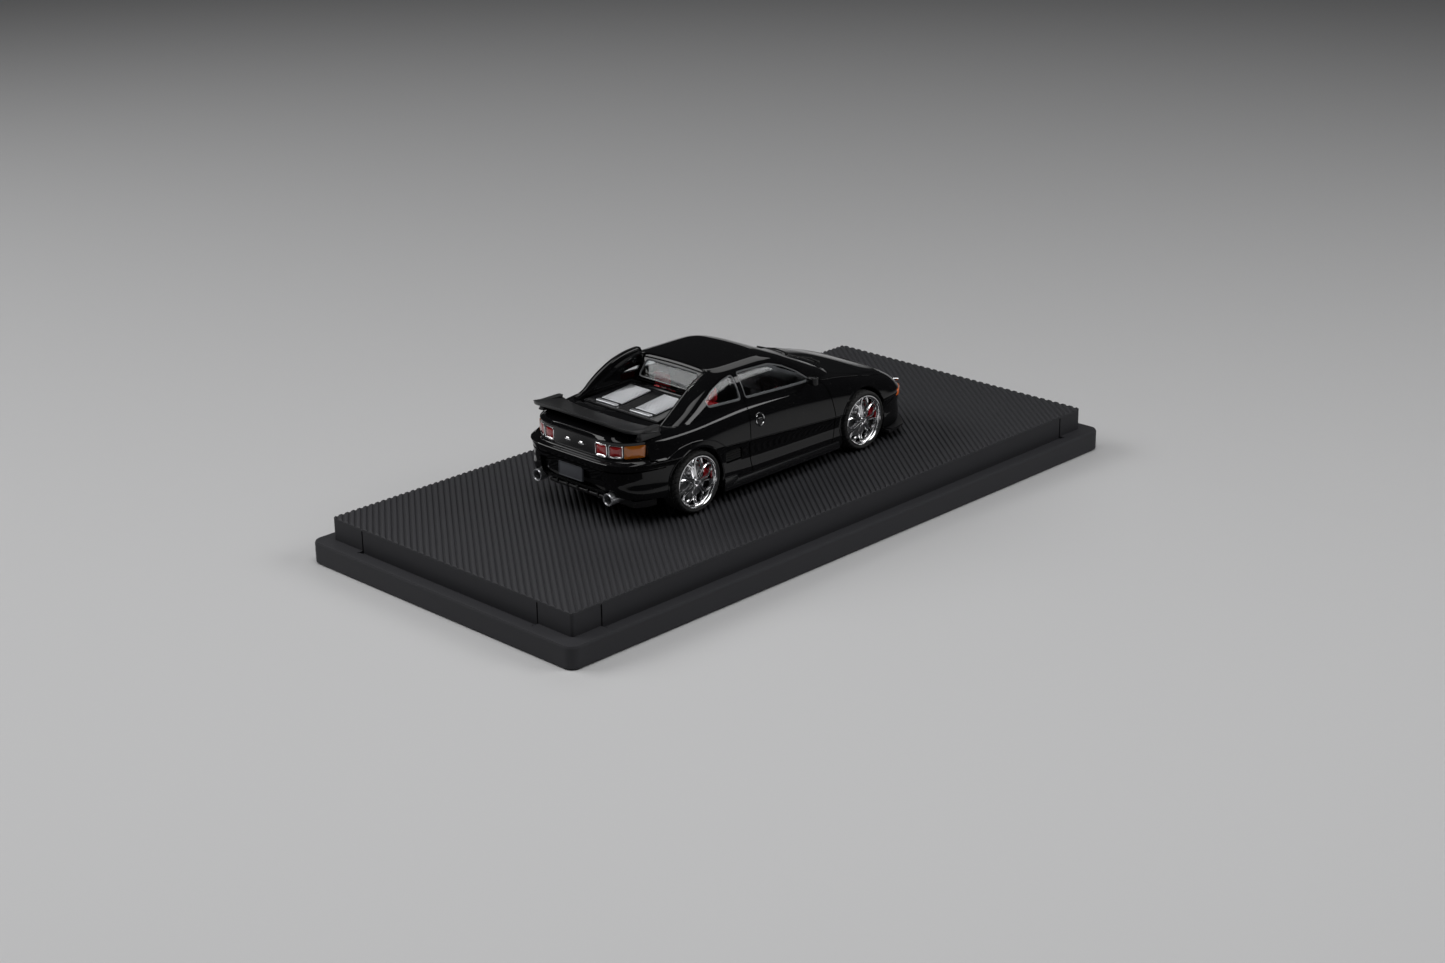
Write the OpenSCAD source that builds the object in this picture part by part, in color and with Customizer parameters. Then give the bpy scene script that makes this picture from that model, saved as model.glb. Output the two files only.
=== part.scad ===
// 1:64 diecast sports coupe, screwed to its two-tier display base.
// Millimetres. Origin at the centre of the base's underside, +X to the car's front, +Y to its left, +Z up.

/* [Display base] */
// Length of the lower tier
base_length = 120; // [114:0.5:130]
// Width of the lower tier
base_width = 57.5; // [56:0.5:64]
// Length of the raised plinth
plinth_length = 115; // [104:0.5:116]
// Width of the raised plinth
plinth_width = 52.5; // [46:0.5:54]
// Height of the ledge that the clear cover stands on
ledge_height = 3.6; // [3:0.1:5]
// Height of the plinth, measured from the underside
plinth_height = 7.25; // [6:0.05:9]
// Corner radius of the lower tier
base_corner_r = 1.6; // [0.8:0.1:3]
// Spacing of the slanted ribs on the plinth
rib_pitch = 0.9; // [0.8:0.05:1.6]
// Depth of the grooves between the ribs
rib_depth = 0.25; // [0.1:0.05:0.4]
// Direction of the ribs, measured from the car's length
rib_angle = 52; // [40:1:70]
// Distance of the cover's locating notches from the plinth's corners, on its long sides
notch_long = 5.5; // [4:0.5:16]
// The same distance on the plinth's short sides
notch_short = 7; // [4:0.5:16]

/* [Car] */
// Distance between the two axles
wheelbase = 37.5; // [36:0.1:38.5]
// Distance between the centres of the two wheels on one axle
track = 22.9; // [22:0.1:23.2]
// How far the middle of the wheelbase stands behind the middle of the base
car_setback = 0.95; // [0:0.05:4]
// Thickness of the cast body wall
wall = 0.9; // [0.7:0.05:1]

/* [Wheels] */
// Diameter of a tyre
tyre_d = 9.6; // [9:0.1:9.8]
// Width of a tyre
tyre_width = 3.3; // [2.8:0.1:3.5]
// Outer diameter of a rim
rim_d = 8.2; // [7.6:0.1:8.4]
// Number of spoke pairs in a rim
spoke_pairs = 7; // [5:1:9]
// Diameter of an axle rod
axle_d = 1.2; // [1:0.1:1.4]
// Gap between a tyre and the plinth, which lets the wheels turn
ride_gap = 0.1; // [0.06:0.01:0.2]

/* [Engine cover and wing] */
// Height of the cover's underside above the plinth, at its middle
cover_z = 13.95; // [13.8:0.05:14.2]
// Slope of the engine cover towards the tail
cover_tilt = 5.7; // [4:0.1:8]
// Thickness of the rear wing
wing_t = 0.75; // [0.5:0.05:0.9]

/* [Hidden] */

eps = 0.01;
gap = 0.04; // clearance around every inset piece
axle_x = wheelbase / 2;
axle_z = tyre_d / 2 + ride_gap;
half_track = track / 2;
arch_r = tyre_d / 2 + 0.75;
shaft_play = 0.05;
post_x = [-25.5, 25]; // screw posts that join the body to the chassis
stud_x = [-7, 8]; // bosses that join the chassis to the base
floor_z = 2.3; // underside of the chassis plate
floor_t = 1;

// Body outlines from the sill to the deck edge. Each row is one plan outline:
// rear end, front end, half width, squareness, then its height over HEIGHT_X.
HEIGHT_X = [-32.6, -19, -7, 11, 19, 32.6];
BODY = [
    [28.6, 28.4, 10.4, 6.0, 4.5, 3.2, 2.0, 2.0, 2.0, 1.9],
    [31.2, 31.2, 12.6, 6.5, 4.8, 3.4, 1.9, 1.9, 1.9, 1.7],
    [31.9, 31.9, 12.9, 6.0, 5.8, 5.0, 3.6, 3.4, 3.4, 3.0],
    [32.2, 32.3, 12.7, 5.5, 7.4, 7.0, 5.9, 5.4, 5.2, 4.8],
    [32.5, 32.6, 12.8, 5.5, 9.4, 8.9, 8.0, 6.9, 6.6, 6.2],
    [32.6, 32.4, 13.1, 5.5, 9.9, 9.5, 8.6, 7.2, 7.1, 6.9],
    [31.7, 31.8, 12.95, 5.2, 10.4, 10.6, 10.4, 9.3, 8.8, 7.7],
    [31.5, 30.6, 12.3, 5.0, 12.7, 12.9, 13.0, 12.0, 11.0, 8.4],
    [31.2, 28.8, 11.2, 4.6, 13.5, 13.7, 14.2, 13.4, 11.8, 9.2]];
// Rise of the bonnet and deck from their edge to the centre line
CROWN = [[-31, 0.2], [-20, 0.3], [10, 0.5], [15, 0.7], [22, 0.8], [28, 0.1]];

// Cabin outlines: height, rear end, front end, half width. They are centred on cabin_x.
cabin_x = -3;
CABIN = [
    [12.4, 25.5, 16.8, 12.0],
    [14.0, 22.0, 14.2, 11.55],
    [15.2, 19.4, 11.5, 11.1],
    [16.6, 16.6, 8.4, 10.4],
    [17.8, 13.8, 5.6, 9.6],
    [18.5, 12.0, 3.6, 8.7],
    [18.95, 10.9, 2.0, 7.3]];
cabin_squareness = [8, 4.5]; // rear, front
roof_crown = 0.4;

function spow(a, n) = sign(a) * pow(abs(a), n);
function curve(t, n) = [spow(cos(t), 2 / n), spow(sin(t), 2 / n)];
function bulge(x) = 0.3 * exp(-pow((x + axle_x) / 7, 2)) + 0.15 * exp(-pow((x - axle_x) / 7, 2));
function height(row, x) = lookup(x, [for (k = [0:5]) [HEIGHT_X[k], row[4 + k]]]);

// Point t degrees round a body outline, 0 at the rear and 180 at the front, drawn in by inset
function body_point(row, t, inset) =
    let (c = curve(t, row[3]), x = -c[0] * ((t < 90 ? row[0] : row[1]) - inset))
    [x, c[1] * (row[2] - inset + bulge(x)), height(row, x)];
function deck_z(x) = height(BODY[8], x) + lookup(x, CROWN);

// One rib of the body: up the left side, over the top and down the right side
function body_rib(t, inset, drop) =
    let (side = [for (k = [0:8]) body_point(BODY[k], t, inset) - [0, 0, k < 2 ? drop : 0]],
        e = side[8], lift = lookup(e[0], CROWN))
    concat([for (k = [0:7]) side[k]],
        [for (w = [1:-0.25:-1]) [e[0], e[1] * w, e[2] - inset + lift * (1 - w * w)]],
        [for (k = [7:-1:0]) [side[k][0], -side[k][1], side[k][2]]]);

function cabin_point(row, t, inset) =
    let (rear = t < 90, c = curve(t, rear ? cabin_squareness[0] : cabin_squareness[1]),
        reach = rear ? row[1] + cabin_x : row[2] - cabin_x)
    [cabin_x - c[0] * (reach - inset), c[1] * (row[3] - inset), row[0]];
function cabin_rib(t, inset, drop) =
    let (side = [for (k = [0:6]) cabin_point(CABIN[k], t, inset) - [0, 0, k == 0 ? drop : 0]],
        e = side[6], lift = roof_crown * sin(t))
    concat([for (k = [0:5]) side[k]],
        [for (w = [1:-0.25:-1]) [e[0], e[1] * w, e[2] - inset + lift * (1 - w * w)]],
        [for (k = [5:-1:0]) [side[k][0], -side[k][1], side[k][2]]]);

// Points nearer to each other than this are one point
weld = 0.0001;
// True for a triangle with three separate corners: the others close up at the two ends of a loft
function distinct(p, f) = norm(p[f[0]] - p[f[1]]) > weld && norm(p[f[1]] - p[f[2]]) > weld
    && norm(p[f[2]] - p[f[0]]) > weld;
module loft(ribs) {
    n = len(ribs[0]);
    points = [for (r = ribs) for (q = r) q];
    faces = [for (i = [0:len(ribs) - 2]) for (k = [0:n - 1])
        let (a = i * n + k, b = i * n + (k + 1) % n, c = b + n, d = a + n)
        for (f = [[a, c, b], [a, d, c]]) if (distinct(points, f)) f];
    polyhedron(points, faces, convexity = 10);
}

module body_loft(inset = 0, drop = 0) {
    loft([for (t = [0:6:180]) body_rib(t, inset, drop)]);
}
module cabin_loft(inset = 0, drop = 0) {
    loft([for (t = [0:6:180]) cabin_rib(t, inset, drop)]);
}

// Outline of the cabin at any height, and the point of its side at any x
function cabin_row(z) = [for (j = [0:3]) lookup(z, [for (r = CABIN) [r[0], r[j]]])];
function side_point(z, x, inset) =
    let (row = cabin_row(z), rear = x < cabin_x, n = cabin_squareness[rear ? 0 : 1],
        reach = rear ? row[1] + cabin_x : row[2] - cabin_x)
    [x, (row[3] - inset) * pow(1 - pow(abs(x - cabin_x) / (reach - inset), n), 1 / n), z];

// A closed sheet between two equal grids of points
module sheet(outer, inner) {
    zn = len(outer) - 1;
    m = len(outer[0]);
    off = (zn + 1) * m;
    top = [for (i = [0:zn - 1]) for (k = [0:m - 2]) let (q = i * m + k)
        for (f = [[q, q + m + 1, q + m], [q, q + 1, q + m + 1]]) f];
    rim = concat([for (k = [0:m - 1]) k], [for (i = [1:zn]) i * m + m - 1],
        [for (k = [m - 2:-1:0]) zn * m + k], [for (i = [zn - 1:-1:1]) i * m]);
    n = len(rim);
    walls = [for (k = [0:n - 1]) let (p = rim[k], q = rim[(k + 1) % n])
        for (f = [[p, q + off, q], [p, p + off, q + off]]) f];
    under = [for (f = top) [f[2] + off, f[1] + off, f[0] + off]];
    points = [for (g = [outer, inner]) for (r = g) for (q = r) q];
    polyhedron(points, concat(top, walls, under), convexity = 6);
}

// Glazing for one side, from x_low to x_high, each given at the bottom and at the top
module side_sheet(z, x_low, x_high, a, b, steps = 6) {
    grids = [for (inset = [a, b]) [for (i = [0:steps]) let (h = i / steps) [for (k = [0:steps])
        let (x0 = x_low[0] + (x_low[1] - x_low[0]) * h, x1 = x_high[0] + (x_high[1] - x_high[0]) * h)
        side_point(z[0] + (z[1] - z[0]) * h, x0 + (x1 - x0) * k / steps, inset)]]];
    sheet(grids[0], grids[1]);
}

module on_plinth() { translate([-car_setback, 0, plinth_height]) children(); }
module both_sides() { children(); mirror([0, 1, 0]) children(); }
module at_wheels() {
    for (x = [-axle_x, axle_x]) for (s = [-1, 1]) translate([x, s * half_track, axle_z]) children();
}
module along_y(r, w) { rotate([90, 0, 0]) cylinder(r = r, h = w, center = true, $fn = 48); }
module block(x, y, z) { translate([x[0], y[0], z[0]]) cube([x[1] - x[0], y[1] - y[0], z[1] - z[0]]); }
module rounded_bar(x, y, z, r) {
    hull() for (px = [x[0] + r, x[1] - r]) for (pz = [z[0] + r, z[1] - r])
        translate([px, y[1], pz]) rotate([90, 0, 0]) cylinder(r = r, h = y[1] - y[0], $fn = 16);
}

// Plan shape of a body outline, drawn in by inset
module outline(row, inset = 0) {
    half = [for (t = [0:5:180]) let (p = body_point(row, t, inset)) [p[0], p[1]]];
    polygon(concat(half, [for (k = [len(half) - 2:-1:1]) [half[k][0], -half[k][1]]]));
}

// ---- display base ----

module base_bores() {
    for (x = stud_x) translate([x - car_setback, 0, -eps]) {
        cylinder(r = 1.1, h = plinth_height + 1, $fn = 32);
        cylinder(r = 2.1, h = 3.6, $fn = 32);
    }
}

module display_base() {
    notch_z = plinth_height / 2 + ledge_height;
    color("#151517") difference() {
        union() {
            linear_extrude(ledge_height) hull() for (x = [-1, 1]) for (y = [-1, 1])
                translate([x * (base_length / 2 - base_corner_r), y * (base_width / 2 - base_corner_r)])
                    circle(r = base_corner_r, $fn = 32);
            block([-plinth_length / 2, plinth_length / 2], [-plinth_width / 2, plinth_width / 2],
                [ledge_height - eps, plinth_height - 2 * rib_depth - gap]);
        }
        for (s = [-1, 1]) for (e = [-1, 1]) {
            translate([e * (plinth_length / 2 - notch_long), s * plinth_width / 2, notch_z])
                cube([0.3, 0.4, plinth_height], center = true);
            translate([s * plinth_length / 2, e * (plinth_width / 2 - notch_short), notch_z])
                cube([0.4, 0.3, plinth_height], center = true);
        }
        base_bores();
    }
}

module ribbed_deck() {
    reach = norm([plinth_length, plinth_width]);
    count = ceil(reach / rib_pitch / 2);
    land = rib_pitch * 0.45;
    low = plinth_height - 2 * rib_depth;
    comb = [for (k = [-count:count]) let (c = k * rib_pitch) for (p = [
        [c - rib_pitch / 2 + 0.08, rib_depth], [c - land / 2, 2 * rib_depth],
        [c + land / 2, 2 * rib_depth], [c + rib_pitch / 2 - 0.08, rib_depth]]) p];
    color("#1b1b1d") difference() {
        intersection() {
            block([-plinth_length / 2, plinth_length / 2], [-plinth_width / 2, plinth_width / 2],
                [low, plinth_height]);
            translate([0, 0, low]) rotate([90, 0, rib_angle + 90]) linear_extrude(reach, center = true)
                polygon(concat([[-(count + 1) * rib_pitch, 0]], comb, [[(count + 1) * rib_pitch, 0]]));
        }
        base_bores();
        for (x = stud_x) translate([x - car_setback, 0, low - eps]) cylinder(r = 2.2, h = 2, $fn = 32);
    }
}

module base_screws() {
    color("silver") for (x = stud_x) translate([x - car_setback, 0, 0]) difference() {
        union() {
            translate([0, 0, 2.2]) cylinder(r = 1.7, h = 1.35, $fn = 32);
            translate([0, 0, 3.5]) cylinder(r = 0.75, h = plinth_height - 1, $fn = 24);
        }
        translate([0, 0, 2.2]) for (a = [0, 90]) rotate(a) cube([2, 0.4, 1.2], center = true);
    }
}

// ---- chassis and body ----

module chassis_plate() {
    bearing_y = [5.2, 6.8];
    color("#202022") on_plinth() difference() {
        union() {
            difference() {
                translate([0, 0, floor_z]) linear_extrude(floor_t) outline(BODY[1], wall + 0.9);
                at_wheels() cube([2 * arch_r + 0.8, 6.4, 8], center = true);
                block([-40, -28], [-20, 20], [0, 8]);
            }
            for (x = [-axle_x, axle_x]) both_sides()
                block([x - 1.6, x + 1.6], bearing_y, [floor_z + eps, axle_z + 1.5]);
            for (x = stud_x) translate([x, 0, -2 * rib_depth])
                cylinder(r = 2, h = floor_z + floor_t, $fn = 32);
        }
        for (x = [-axle_x, axle_x]) translate([x, 0, axle_z]) along_y(axle_d / 2 + shaft_play, 40);
        for (x = stud_x) translate([x, 0, -1]) cylinder(r = 0.8, h = 8, $fn = 24);
        for (x = post_x) translate([x, 0, 0]) cylinder(r = 0.8, h = 8, $fn = 24);
    }
}

module chassis_screws() {
    color("silver") on_plinth() for (x = post_x) translate([x, 0, 0]) difference() {
        union() {
            translate([0, 0, floor_z - 0.9]) cylinder(r = 1.4, h = 0.85, $fn = 32);
            translate([0, 0, floor_z - 0.1]) cylinder(r = 0.7, h = 4, $fn = 24);
        }
        translate([0, 0, floor_z - 0.9]) for (a = [0, 90]) rotate(a) cube([1.8, 0.35, 0.7], center = true);
    }
}

// Side openings, seen from the side as [x, z]
DOOR_GLASS = [[-6.7, 14.5], [7.2, 13.8], [8, 14.1], [5.6, 15.9], [2.9, 17.3], [0.4, 18.1], [-6.7, 18.3]];
QUARTER_GLASS = [[-14.4, 14.9], [-7.5, 14.5], [-7.5, 18.25], [-10, 17.9], [-12.6, 17.1], [-14.7, 16.0]];

module side_prism(shape, y0, y1) {
    translate([0, y1, 0]) rotate([90, 0, 0]) linear_extrude(y1 - y0) polygon(shape);
}

// Space between the two rear fins, above the engine cover
cover_x = -17.4; // middle of the engine cover
well_x = [-22.6, -12.2];
function well_floor(x) = cover_z - 0.05 + (x - cover_x) * tan(cover_tilt);
module fin_well() {
    hull() for (e = [[-10.4, 7.0, 20], [well_x[1], 7.0, well_floor(well_x[1])],
        [well_x[0], 8.9, well_floor(well_x[0])], [well_x[0], 8.9, 20]])
            translate([e[0], 0, e[2]]) cube([0.02, 2 * e[1], 0.02], center = true);
}

STOP_LAMP_Y = [5.6, 8.15];
exhaust_y = 7.7;
exhaust_z = 4.5;
module lamp_slot(y, grow) {
    rotate([0, 0, 90]) translate([0, 33, 0])
        rounded_bar([y - 1.1 - grow, y + 1.1 + grow], [-2.9, 2], [10.55 - grow, 12.45 + grow], 0.35);
}

// Bars that fill the side grille, the slanted front marker and the lamp in the front bumper
module grille_bar(grow) {
    rounded_bar([-12.55 - grow, -9.05 + grow], [12.25 - grow, 15], [6.05 - grow, 7.85 + grow],
        0.45 + grow);
}
module marker_bar(grow) {
    rotate([0, 0, -38]) translate([17.4, 27.4, 0])
        rounded_bar([-1.95 - grow, 1.95 + grow], [-2.35 - grow, 3], [6.15 - grow, 7.25 + grow],
            0.3 + grow);
}
module front_lamp_bar(grow) {
    rotate([0, 0, 90]) translate([0, -33, 0])
        rounded_bar([5.65 - grow, 9.15 + grow], [-2.35 - grow, 2.35 + grow], [4.25 - grow, 5.55 + grow],
            0.35 + grow);
}

module window_cuts() {
    side_prism(DOOR_GLASS, -14, 14);
    side_prism(QUARTER_GLASS, -14, 14);
    hull() {
        translate([13.6, 0, 13.7]) cube([0.1, 17.6, 0.1], center = true);
        translate([4.2, 0, 18.5]) cube([0.1, 13.6, 0.1], center = true);
        translate([16.6, 0, 15.7]) cube([0.1, 18.6, 0.1], center = true);
        translate([7.2, 0, 20.5]) cube([0.1, 14.6, 0.1], center = true);
    }
    hull() {
        translate([-13, 0, 16.0]) cube([6, 12.0, 0.1], center = true);
        translate([-11, 0, 18.1]) cube([5, 10.6, 0.1], center = true);
    }
}

module arch(x) {
    translate([x, 0, axle_z]) along_y(arch_r, 40);
    translate([x, 0, 0]) cube([2 * arch_r - 0.8, 40, 2 * axle_z - 4], center = true);
}

module body_cavity() {
    body_loft(wall, 4);
    difference() {
        cabin_loft(wall * 0.7, 2);
        hull() for (e = [[-9.9, 20], [-11.7, well_floor(-11.7) - 0.6], [-22.6, well_floor(-22.6) - 0.6],
            [-30, 12], [-30, 20]])
            translate([e[0], 0, e[1]]) cube([0.02, 15.4, 0.02], center = true);
        block([-30, -15.4], [-14, 14], [14, 20]);
    }
}

module body_shell() {
    color("#0c0c0e") on_plinth() {
        difference() {
            union() {
                body_loft();
                cabin_loft();
            }
            body_cavity();
            fin_well();
            window_cuts();
            for (x = [-axle_x, axle_x]) arch(x);
            // tail panel seat
            difference() {
                block([-40, -27.2], [-20, 20], [10.3, 13.05]);
                translate([0, 0, 10]) linear_extrude(4) outline(BODY[7], 1.35);
            }
            // number plate recess and exhaust cut-outs
            rotate([0, 0, 90]) translate([0, 33, 0]) rounded_bar([-2.9, 2.9], [-1.3, 2], [5.8, 8.5], 0.2);
            both_sides() translate([-35.5, exhaust_y, exhaust_z]) rotate([0, 90, 0])
                cylinder(r = 1.25, h = 9, $fn = 24);
            // side grilles, markers and front lamps
            both_sides() {
                grille_bar(gap);
                marker_bar(gap);
                front_lamp_bar(gap);
            }
        }
        // screw posts under the deck and the bonnet
        for (x = post_x) difference() {
            translate([x, 0, floor_z + floor_t + gap])
                cylinder(r = 1.7, h = deck_z(x) - wall / 2 - floor_z - floor_t, $fn = 24);
            translate([x, 0, 2]) cylinder(r = 0.8, h = 5.5, $fn = 24);
        }
    }
}

// ---- cabin ----

module interior_tub() {
    color("#1c1c1e") on_plinth() difference() {
        union() {
            block([-11.4, 12.4], [-10.4, 10.4], [3.5, 9.6]);
            block([-12.2, -11.35], [-9.2, 9.2], [9, 13.5]);
        }
        block([-10.4, 11.6], [-9.6, 9.6], [4.4, 10]);
    }
}

// A cushion between two round edges, each given as x, z and width
module cushion(edges, r) {
    hull() for (e = edges)
        translate([e[0], e[2] / 2, e[1]]) rotate([90, 0, 0]) cylinder(r = r, h = e[2], $fn = 24);
}
seat_y = 4.9; // distance of a seat's centre from the car's centre line
module seat(side) {
    color("#b3121c") on_plinth() translate([0, side * seat_y, 0]) {
        cushion([[-6.5, 5.2, 6.6], [-0.8, 5.2, 6.6]], 0.75);
        cushion([[-7.4, 6.2, 6.4], [-9.3, 12.2, 5.6]], 0.7);
        cushion([[-9.5, 13.7, 3.0], [-9.9, 15.1, 2.4]], 0.55);
        for (s = [-1, 1]) translate([-9.4, s * 0.8, 12.7]) cylinder(r = 0.15, h = 0.7, $fn = 16);
    }
}

module dashboard() {
    color("#232326") on_plinth() {
        side_prism([[7.4, 9.7], [12.3, 9.7], [12.6, 12.5], [9.4, 12.9], [7.2, 12.2]], -9.3, 9.3);
        block([-3.9, 11.5], [-1, 1], [4.45, 7.2]);
        block([7.3, 11.4], [-1, 1], [7.2 - eps, 9.7 + eps]);
        translate([2.6, 0, 7]) rotate([0, -8, 0]) cylinder(r = 0.22, h = 1.9, $fn = 16);
        translate([2.35, 0, 9]) sphere(r = 0.45, $fn = 24);
    }
}

module steering_wheel() {
    color("#2a2a2c") on_plinth() translate([5.9, -seat_y, 11.4]) rotate([0, 66, 0]) {
        rotate_extrude($fn = 48) translate([2.3, 0]) circle(r = 0.28, $fn = 20);
        cylinder(r = 0.6, h = 0.5, center = true, $fn = 24);
        for (a = [0, 120, 240]) rotate(a) translate([1.2, 0, 0]) cube([2, 0.4, 0.25], center = true);
        cylinder(r = 0.3, h = 1.1, $fn = 20);
    }
}

module clear_glass() { color([0.75, 0.8, 0.85, 0.35]) children(); }
glass_a = wall * 0.7 + 0.05; // outer face of the glazing, behind the body wall
glass_b = glass_a + 0.35;
module windscreen() {
    grids = [for (inset = [glass_a, glass_b]) [for (z = [13.9:0.55:18.3]) [for (t = [124:8:236])
        cabin_point(cabin_row(z), t, inset)]]];
    clear_glass() on_plinth() sheet(grids[0], grids[1]);
}
module door_glass() {
    clear_glass() on_plinth() side_sheet([14.15, 18.25], [-6.95, -6.95], [8.2, 1.2], glass_a, glass_b);
}
module quarter_glass() {
    clear_glass() on_plinth() side_sheet([14.7, 18.15], [-14.9, -10.2], [-7.3, -7.3], glass_a, glass_b);
}
module rear_window() {
    clear_glass() on_plinth() hull() {
        translate([-11.45, 0, 15.75]) cube([0.35, 13.0, 0.1], center = true);
        translate([-9.95, 0, 18.3]) cube([0.35, 11.4, 0.1], center = true);
    }
}

// ---- engine cover, wing and tail ----

module tilt_cover() { translate([cover_x, 0, cover_z]) rotate([0, -cover_tilt, 0]) children(); }
module engine_cover() {
    color("#101012") on_plinth() tilt_cover() difference() {
        linear_extrude(0.5) polygon([[-4.7, -8.1], [4.9, -6.6], [4.9, 6.6], [-4.7, 8.1]]);
        both_sides() for (x = [[-4.1, -3.2], [-2.8, 3.5]]) block(x, [1.4, 5.9], [0.2, 1]);
    }
}
module vent_mesh() {
    color("#c9cacc") on_plinth() tilt_cover() both_sides() difference() {
        block([-2.75, 3.45], [1.45, 5.85], [0.22, 0.6]);
        for (x = [-2.6:0.44:3.2]) block([x, x + 0.2], [1.7, 5.6], [0.45, 1]);
    }
}
module vent_bars() {
    color("#d4d5d7") on_plinth() tilt_cover() both_sides()
        block([-4.05, -3.25], [1.45, 5.85], [0.22, 0.75]);
}

// Wing sections from the centre out: y, leading edge x, trailing edge x, leading z, trailing z
WING = [[0, -24.8, -30.9, 14.0, 15.7], [5, -24.7, -30.8, 14.0, 15.65], [9, -24.3, -30.5, 14.1, 15.4],
    [10.4, -24.0, -29.9, 14.2, 15.2], [11.2, -24.0, -28.9, 14.0, 14.8]];
function wing_section(w, s) = let (y = s * w[0], x = (w[1] + w[2]) / 2, z = (w[3] + w[4]) / 2)
    [[w[1], y, w[3]], [x, y, z + 0.15], [w[2], y, w[4]], [w[2] + 0.15, y, w[4] - wing_t],
    [x, y, z - wing_t]];
module rear_wing() {
    ribs = concat([for (k = [4:-1:1]) wing_section(WING[k], -1)],
        [for (k = [0:4]) wing_section(WING[k], 1)]);
    n = 5;
    last = len(ribs) - 1;
    color("#111113") on_plinth() {
        polyhedron([for (r = ribs) for (q = r) q], concat(
            [for (i = [0:last - 1]) for (k = [0:n - 1])
                let (a = i * n + k, b = i * n + (k + 1) % n)
                for (f = [[a, b, b + n], [a, b + n, a + n]]) f],
            [[0, 4, 1], [1, 3, 2], [1, 4, 3]],
            [for (f = [[0, 1, 4], [1, 2, 3], [1, 3, 4]]) [for (q = f) q + last * n]]));
        both_sides() block([-28.4, -24.4], [10.3, 10.9], [13.75, 14.45]);
    }
}

module rear_crescent(inset_a, inset_b, z0, z1, x1) {
    difference() {
        intersection() {
            translate([0, 0, z0]) linear_extrude(z1 - z0) outline(BODY[7], inset_a);
            block([-40, x1], [-20, 20], [z0 - 1, z1 + 1]);
        }
        translate([0, 0, z0 - 1]) linear_extrude(z1 - z0 + 2) outline(BODY[7], inset_b);
    }
}
module turn_slot(grow) { both_sides() block([-40, -20], [9.6 - grow, 20], [10.5 - grow, 12.5 + grow]); }
module tail_panel() {
    color("#0e0e10") on_plinth() difference() {
        rear_crescent(0.1, 1.3, 10.34, 13.01, -27.25);
        both_sides() for (y = STOP_LAMP_Y) lamp_slot(y, gap);
        difference() {
            turn_slot(gap);
            linear_extrude(20) outline(BODY[7], 1.05);
        }
    }
}
module stop_lamps() {
    color("#c01020") on_plinth() intersection() {
        both_sides() for (y = STOP_LAMP_Y) lamp_slot(y, 0);
        rear_crescent(0, 1.25, 10, 13, -27);
    }
}
module turn_lamps() {
    color("#f08a10") on_plinth() intersection() {
        rear_crescent(0.05, 1, 10, 13, -27.6);
        turn_slot(0);
    }
}
module number_plate() { color("#3a3c40") on_plinth() block([-32.3, -31.95], [-2.6, 2.6], [6, 8.3]); }

// Rear silencer: a flattened drum behind the axle, between the chassis rails
module silencer() {
    color("#6c6d70") on_plinth() difference() {
        rounded_bar([-27.7, -24.9], [-6.6, 6.6], [3.4, 5.9], 1);
        translate([post_x[0], 0, 0]) cylinder(r = 2, h = 9, $fn = 24);
    }
}
module exhaust_tips() {
    color("#d8d9db") on_plinth() both_sides() translate([0, exhaust_y, exhaust_z])
        rotate([0, -90, 0]) difference() {
            translate([0, 0, 24.6]) cylinder(r = 0.95, h = 7.6, $fn = 40);
            translate([0, 0, 28]) cylinder(r = 0.7, h = 6, $fn = 40);
        }
}
module rear_diffuser() {
    color("#18181a") on_plinth() difference() {
        rounded_bar([-31.0, -28.1], [-6.2, 6.2], [3.7, 4.45], 0.3);
        both_sides() for (y = [1.8, 4.2]) block([-31.2, -29.6], [y - 0.1, y + 0.1], [3, 6]);
    }
}

module side_skirt() {
    color("#101012") on_plinth() {
        block([-13.2, 12.9], [12.95, 13.2], [1.8, 3.3]);
        block([-13.2, -10.4], [12.95, 13.3], [3.25, 3.9]);
    }
}
module front_lip() {
    color("#0e0e10") on_plinth() difference() {
        translate([0, 0, 1.1]) linear_extrude(0.5) intersection() {
            outline(BODY[1], -0.9);
            translate([24.9, -20]) square([20, 40]);
        }
        linear_extrude(4) outline(BODY[1], 3);
    }
}
module mirror_arm() {
    color("#0e0e10") on_plinth() {
        hull() {
            translate([6.1, 13.2, 14.9]) sphere(r = 0.62, $fn = 24);
            translate([5.9, 14.3, 14.8]) sphere(r = 0.66, $fn = 24);
            translate([5.9, 13.3, 14.4]) sphere(r = 0.5, $fn = 24);
        }
        hull() {
            translate([6.4, 12.9, 14.5]) sphere(r = 0.3, $fn = 16);
            translate([6.9, 11.75, 14.2]) sphere(r = 0.35, $fn = 16);
        }
    }
}
module front_markers() {
    color("#f07818") on_plinth() both_sides() intersection() {
        marker_bar(0);
        translate([0, 0, 6]) linear_extrude(2) outline(BODY[4], 0.1);
    }
}
module front_lamps() {
    color([0.9, 0.92, 0.95, 0.6]) on_plinth() both_sides() intersection() {
        front_lamp_bar(0);
        translate([0, 0, 4]) linear_extrude(2) outline(BODY[3], 0.1);
    }
}
module side_grilles() {
    color("#0a0a0b") on_plinth() both_sides() difference() {
        intersection() {
            grille_bar(0);
            block([-20, 0], [10, 12.7], [5, 9]);
        }
        for (z = [6.3:0.5:7.6]) block([-12.3, -9.3], [12.5, 13], [z, z + 0.25]);
    }
}
module door_handles() {
    color("#1a1a1c") on_plinth() both_sides() translate([-5.1, 12.93, 11.2]) rotate([90, 0, 0])
        difference() {
            translate([0, 0, -0.3]) cylinder(r = 1, h = 0.25, $fn = 32);
            translate([0.1, -0.1, -0.4]) cylinder(r = 0.6, h = 0.25, $fn = 32);
        }
}
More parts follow.
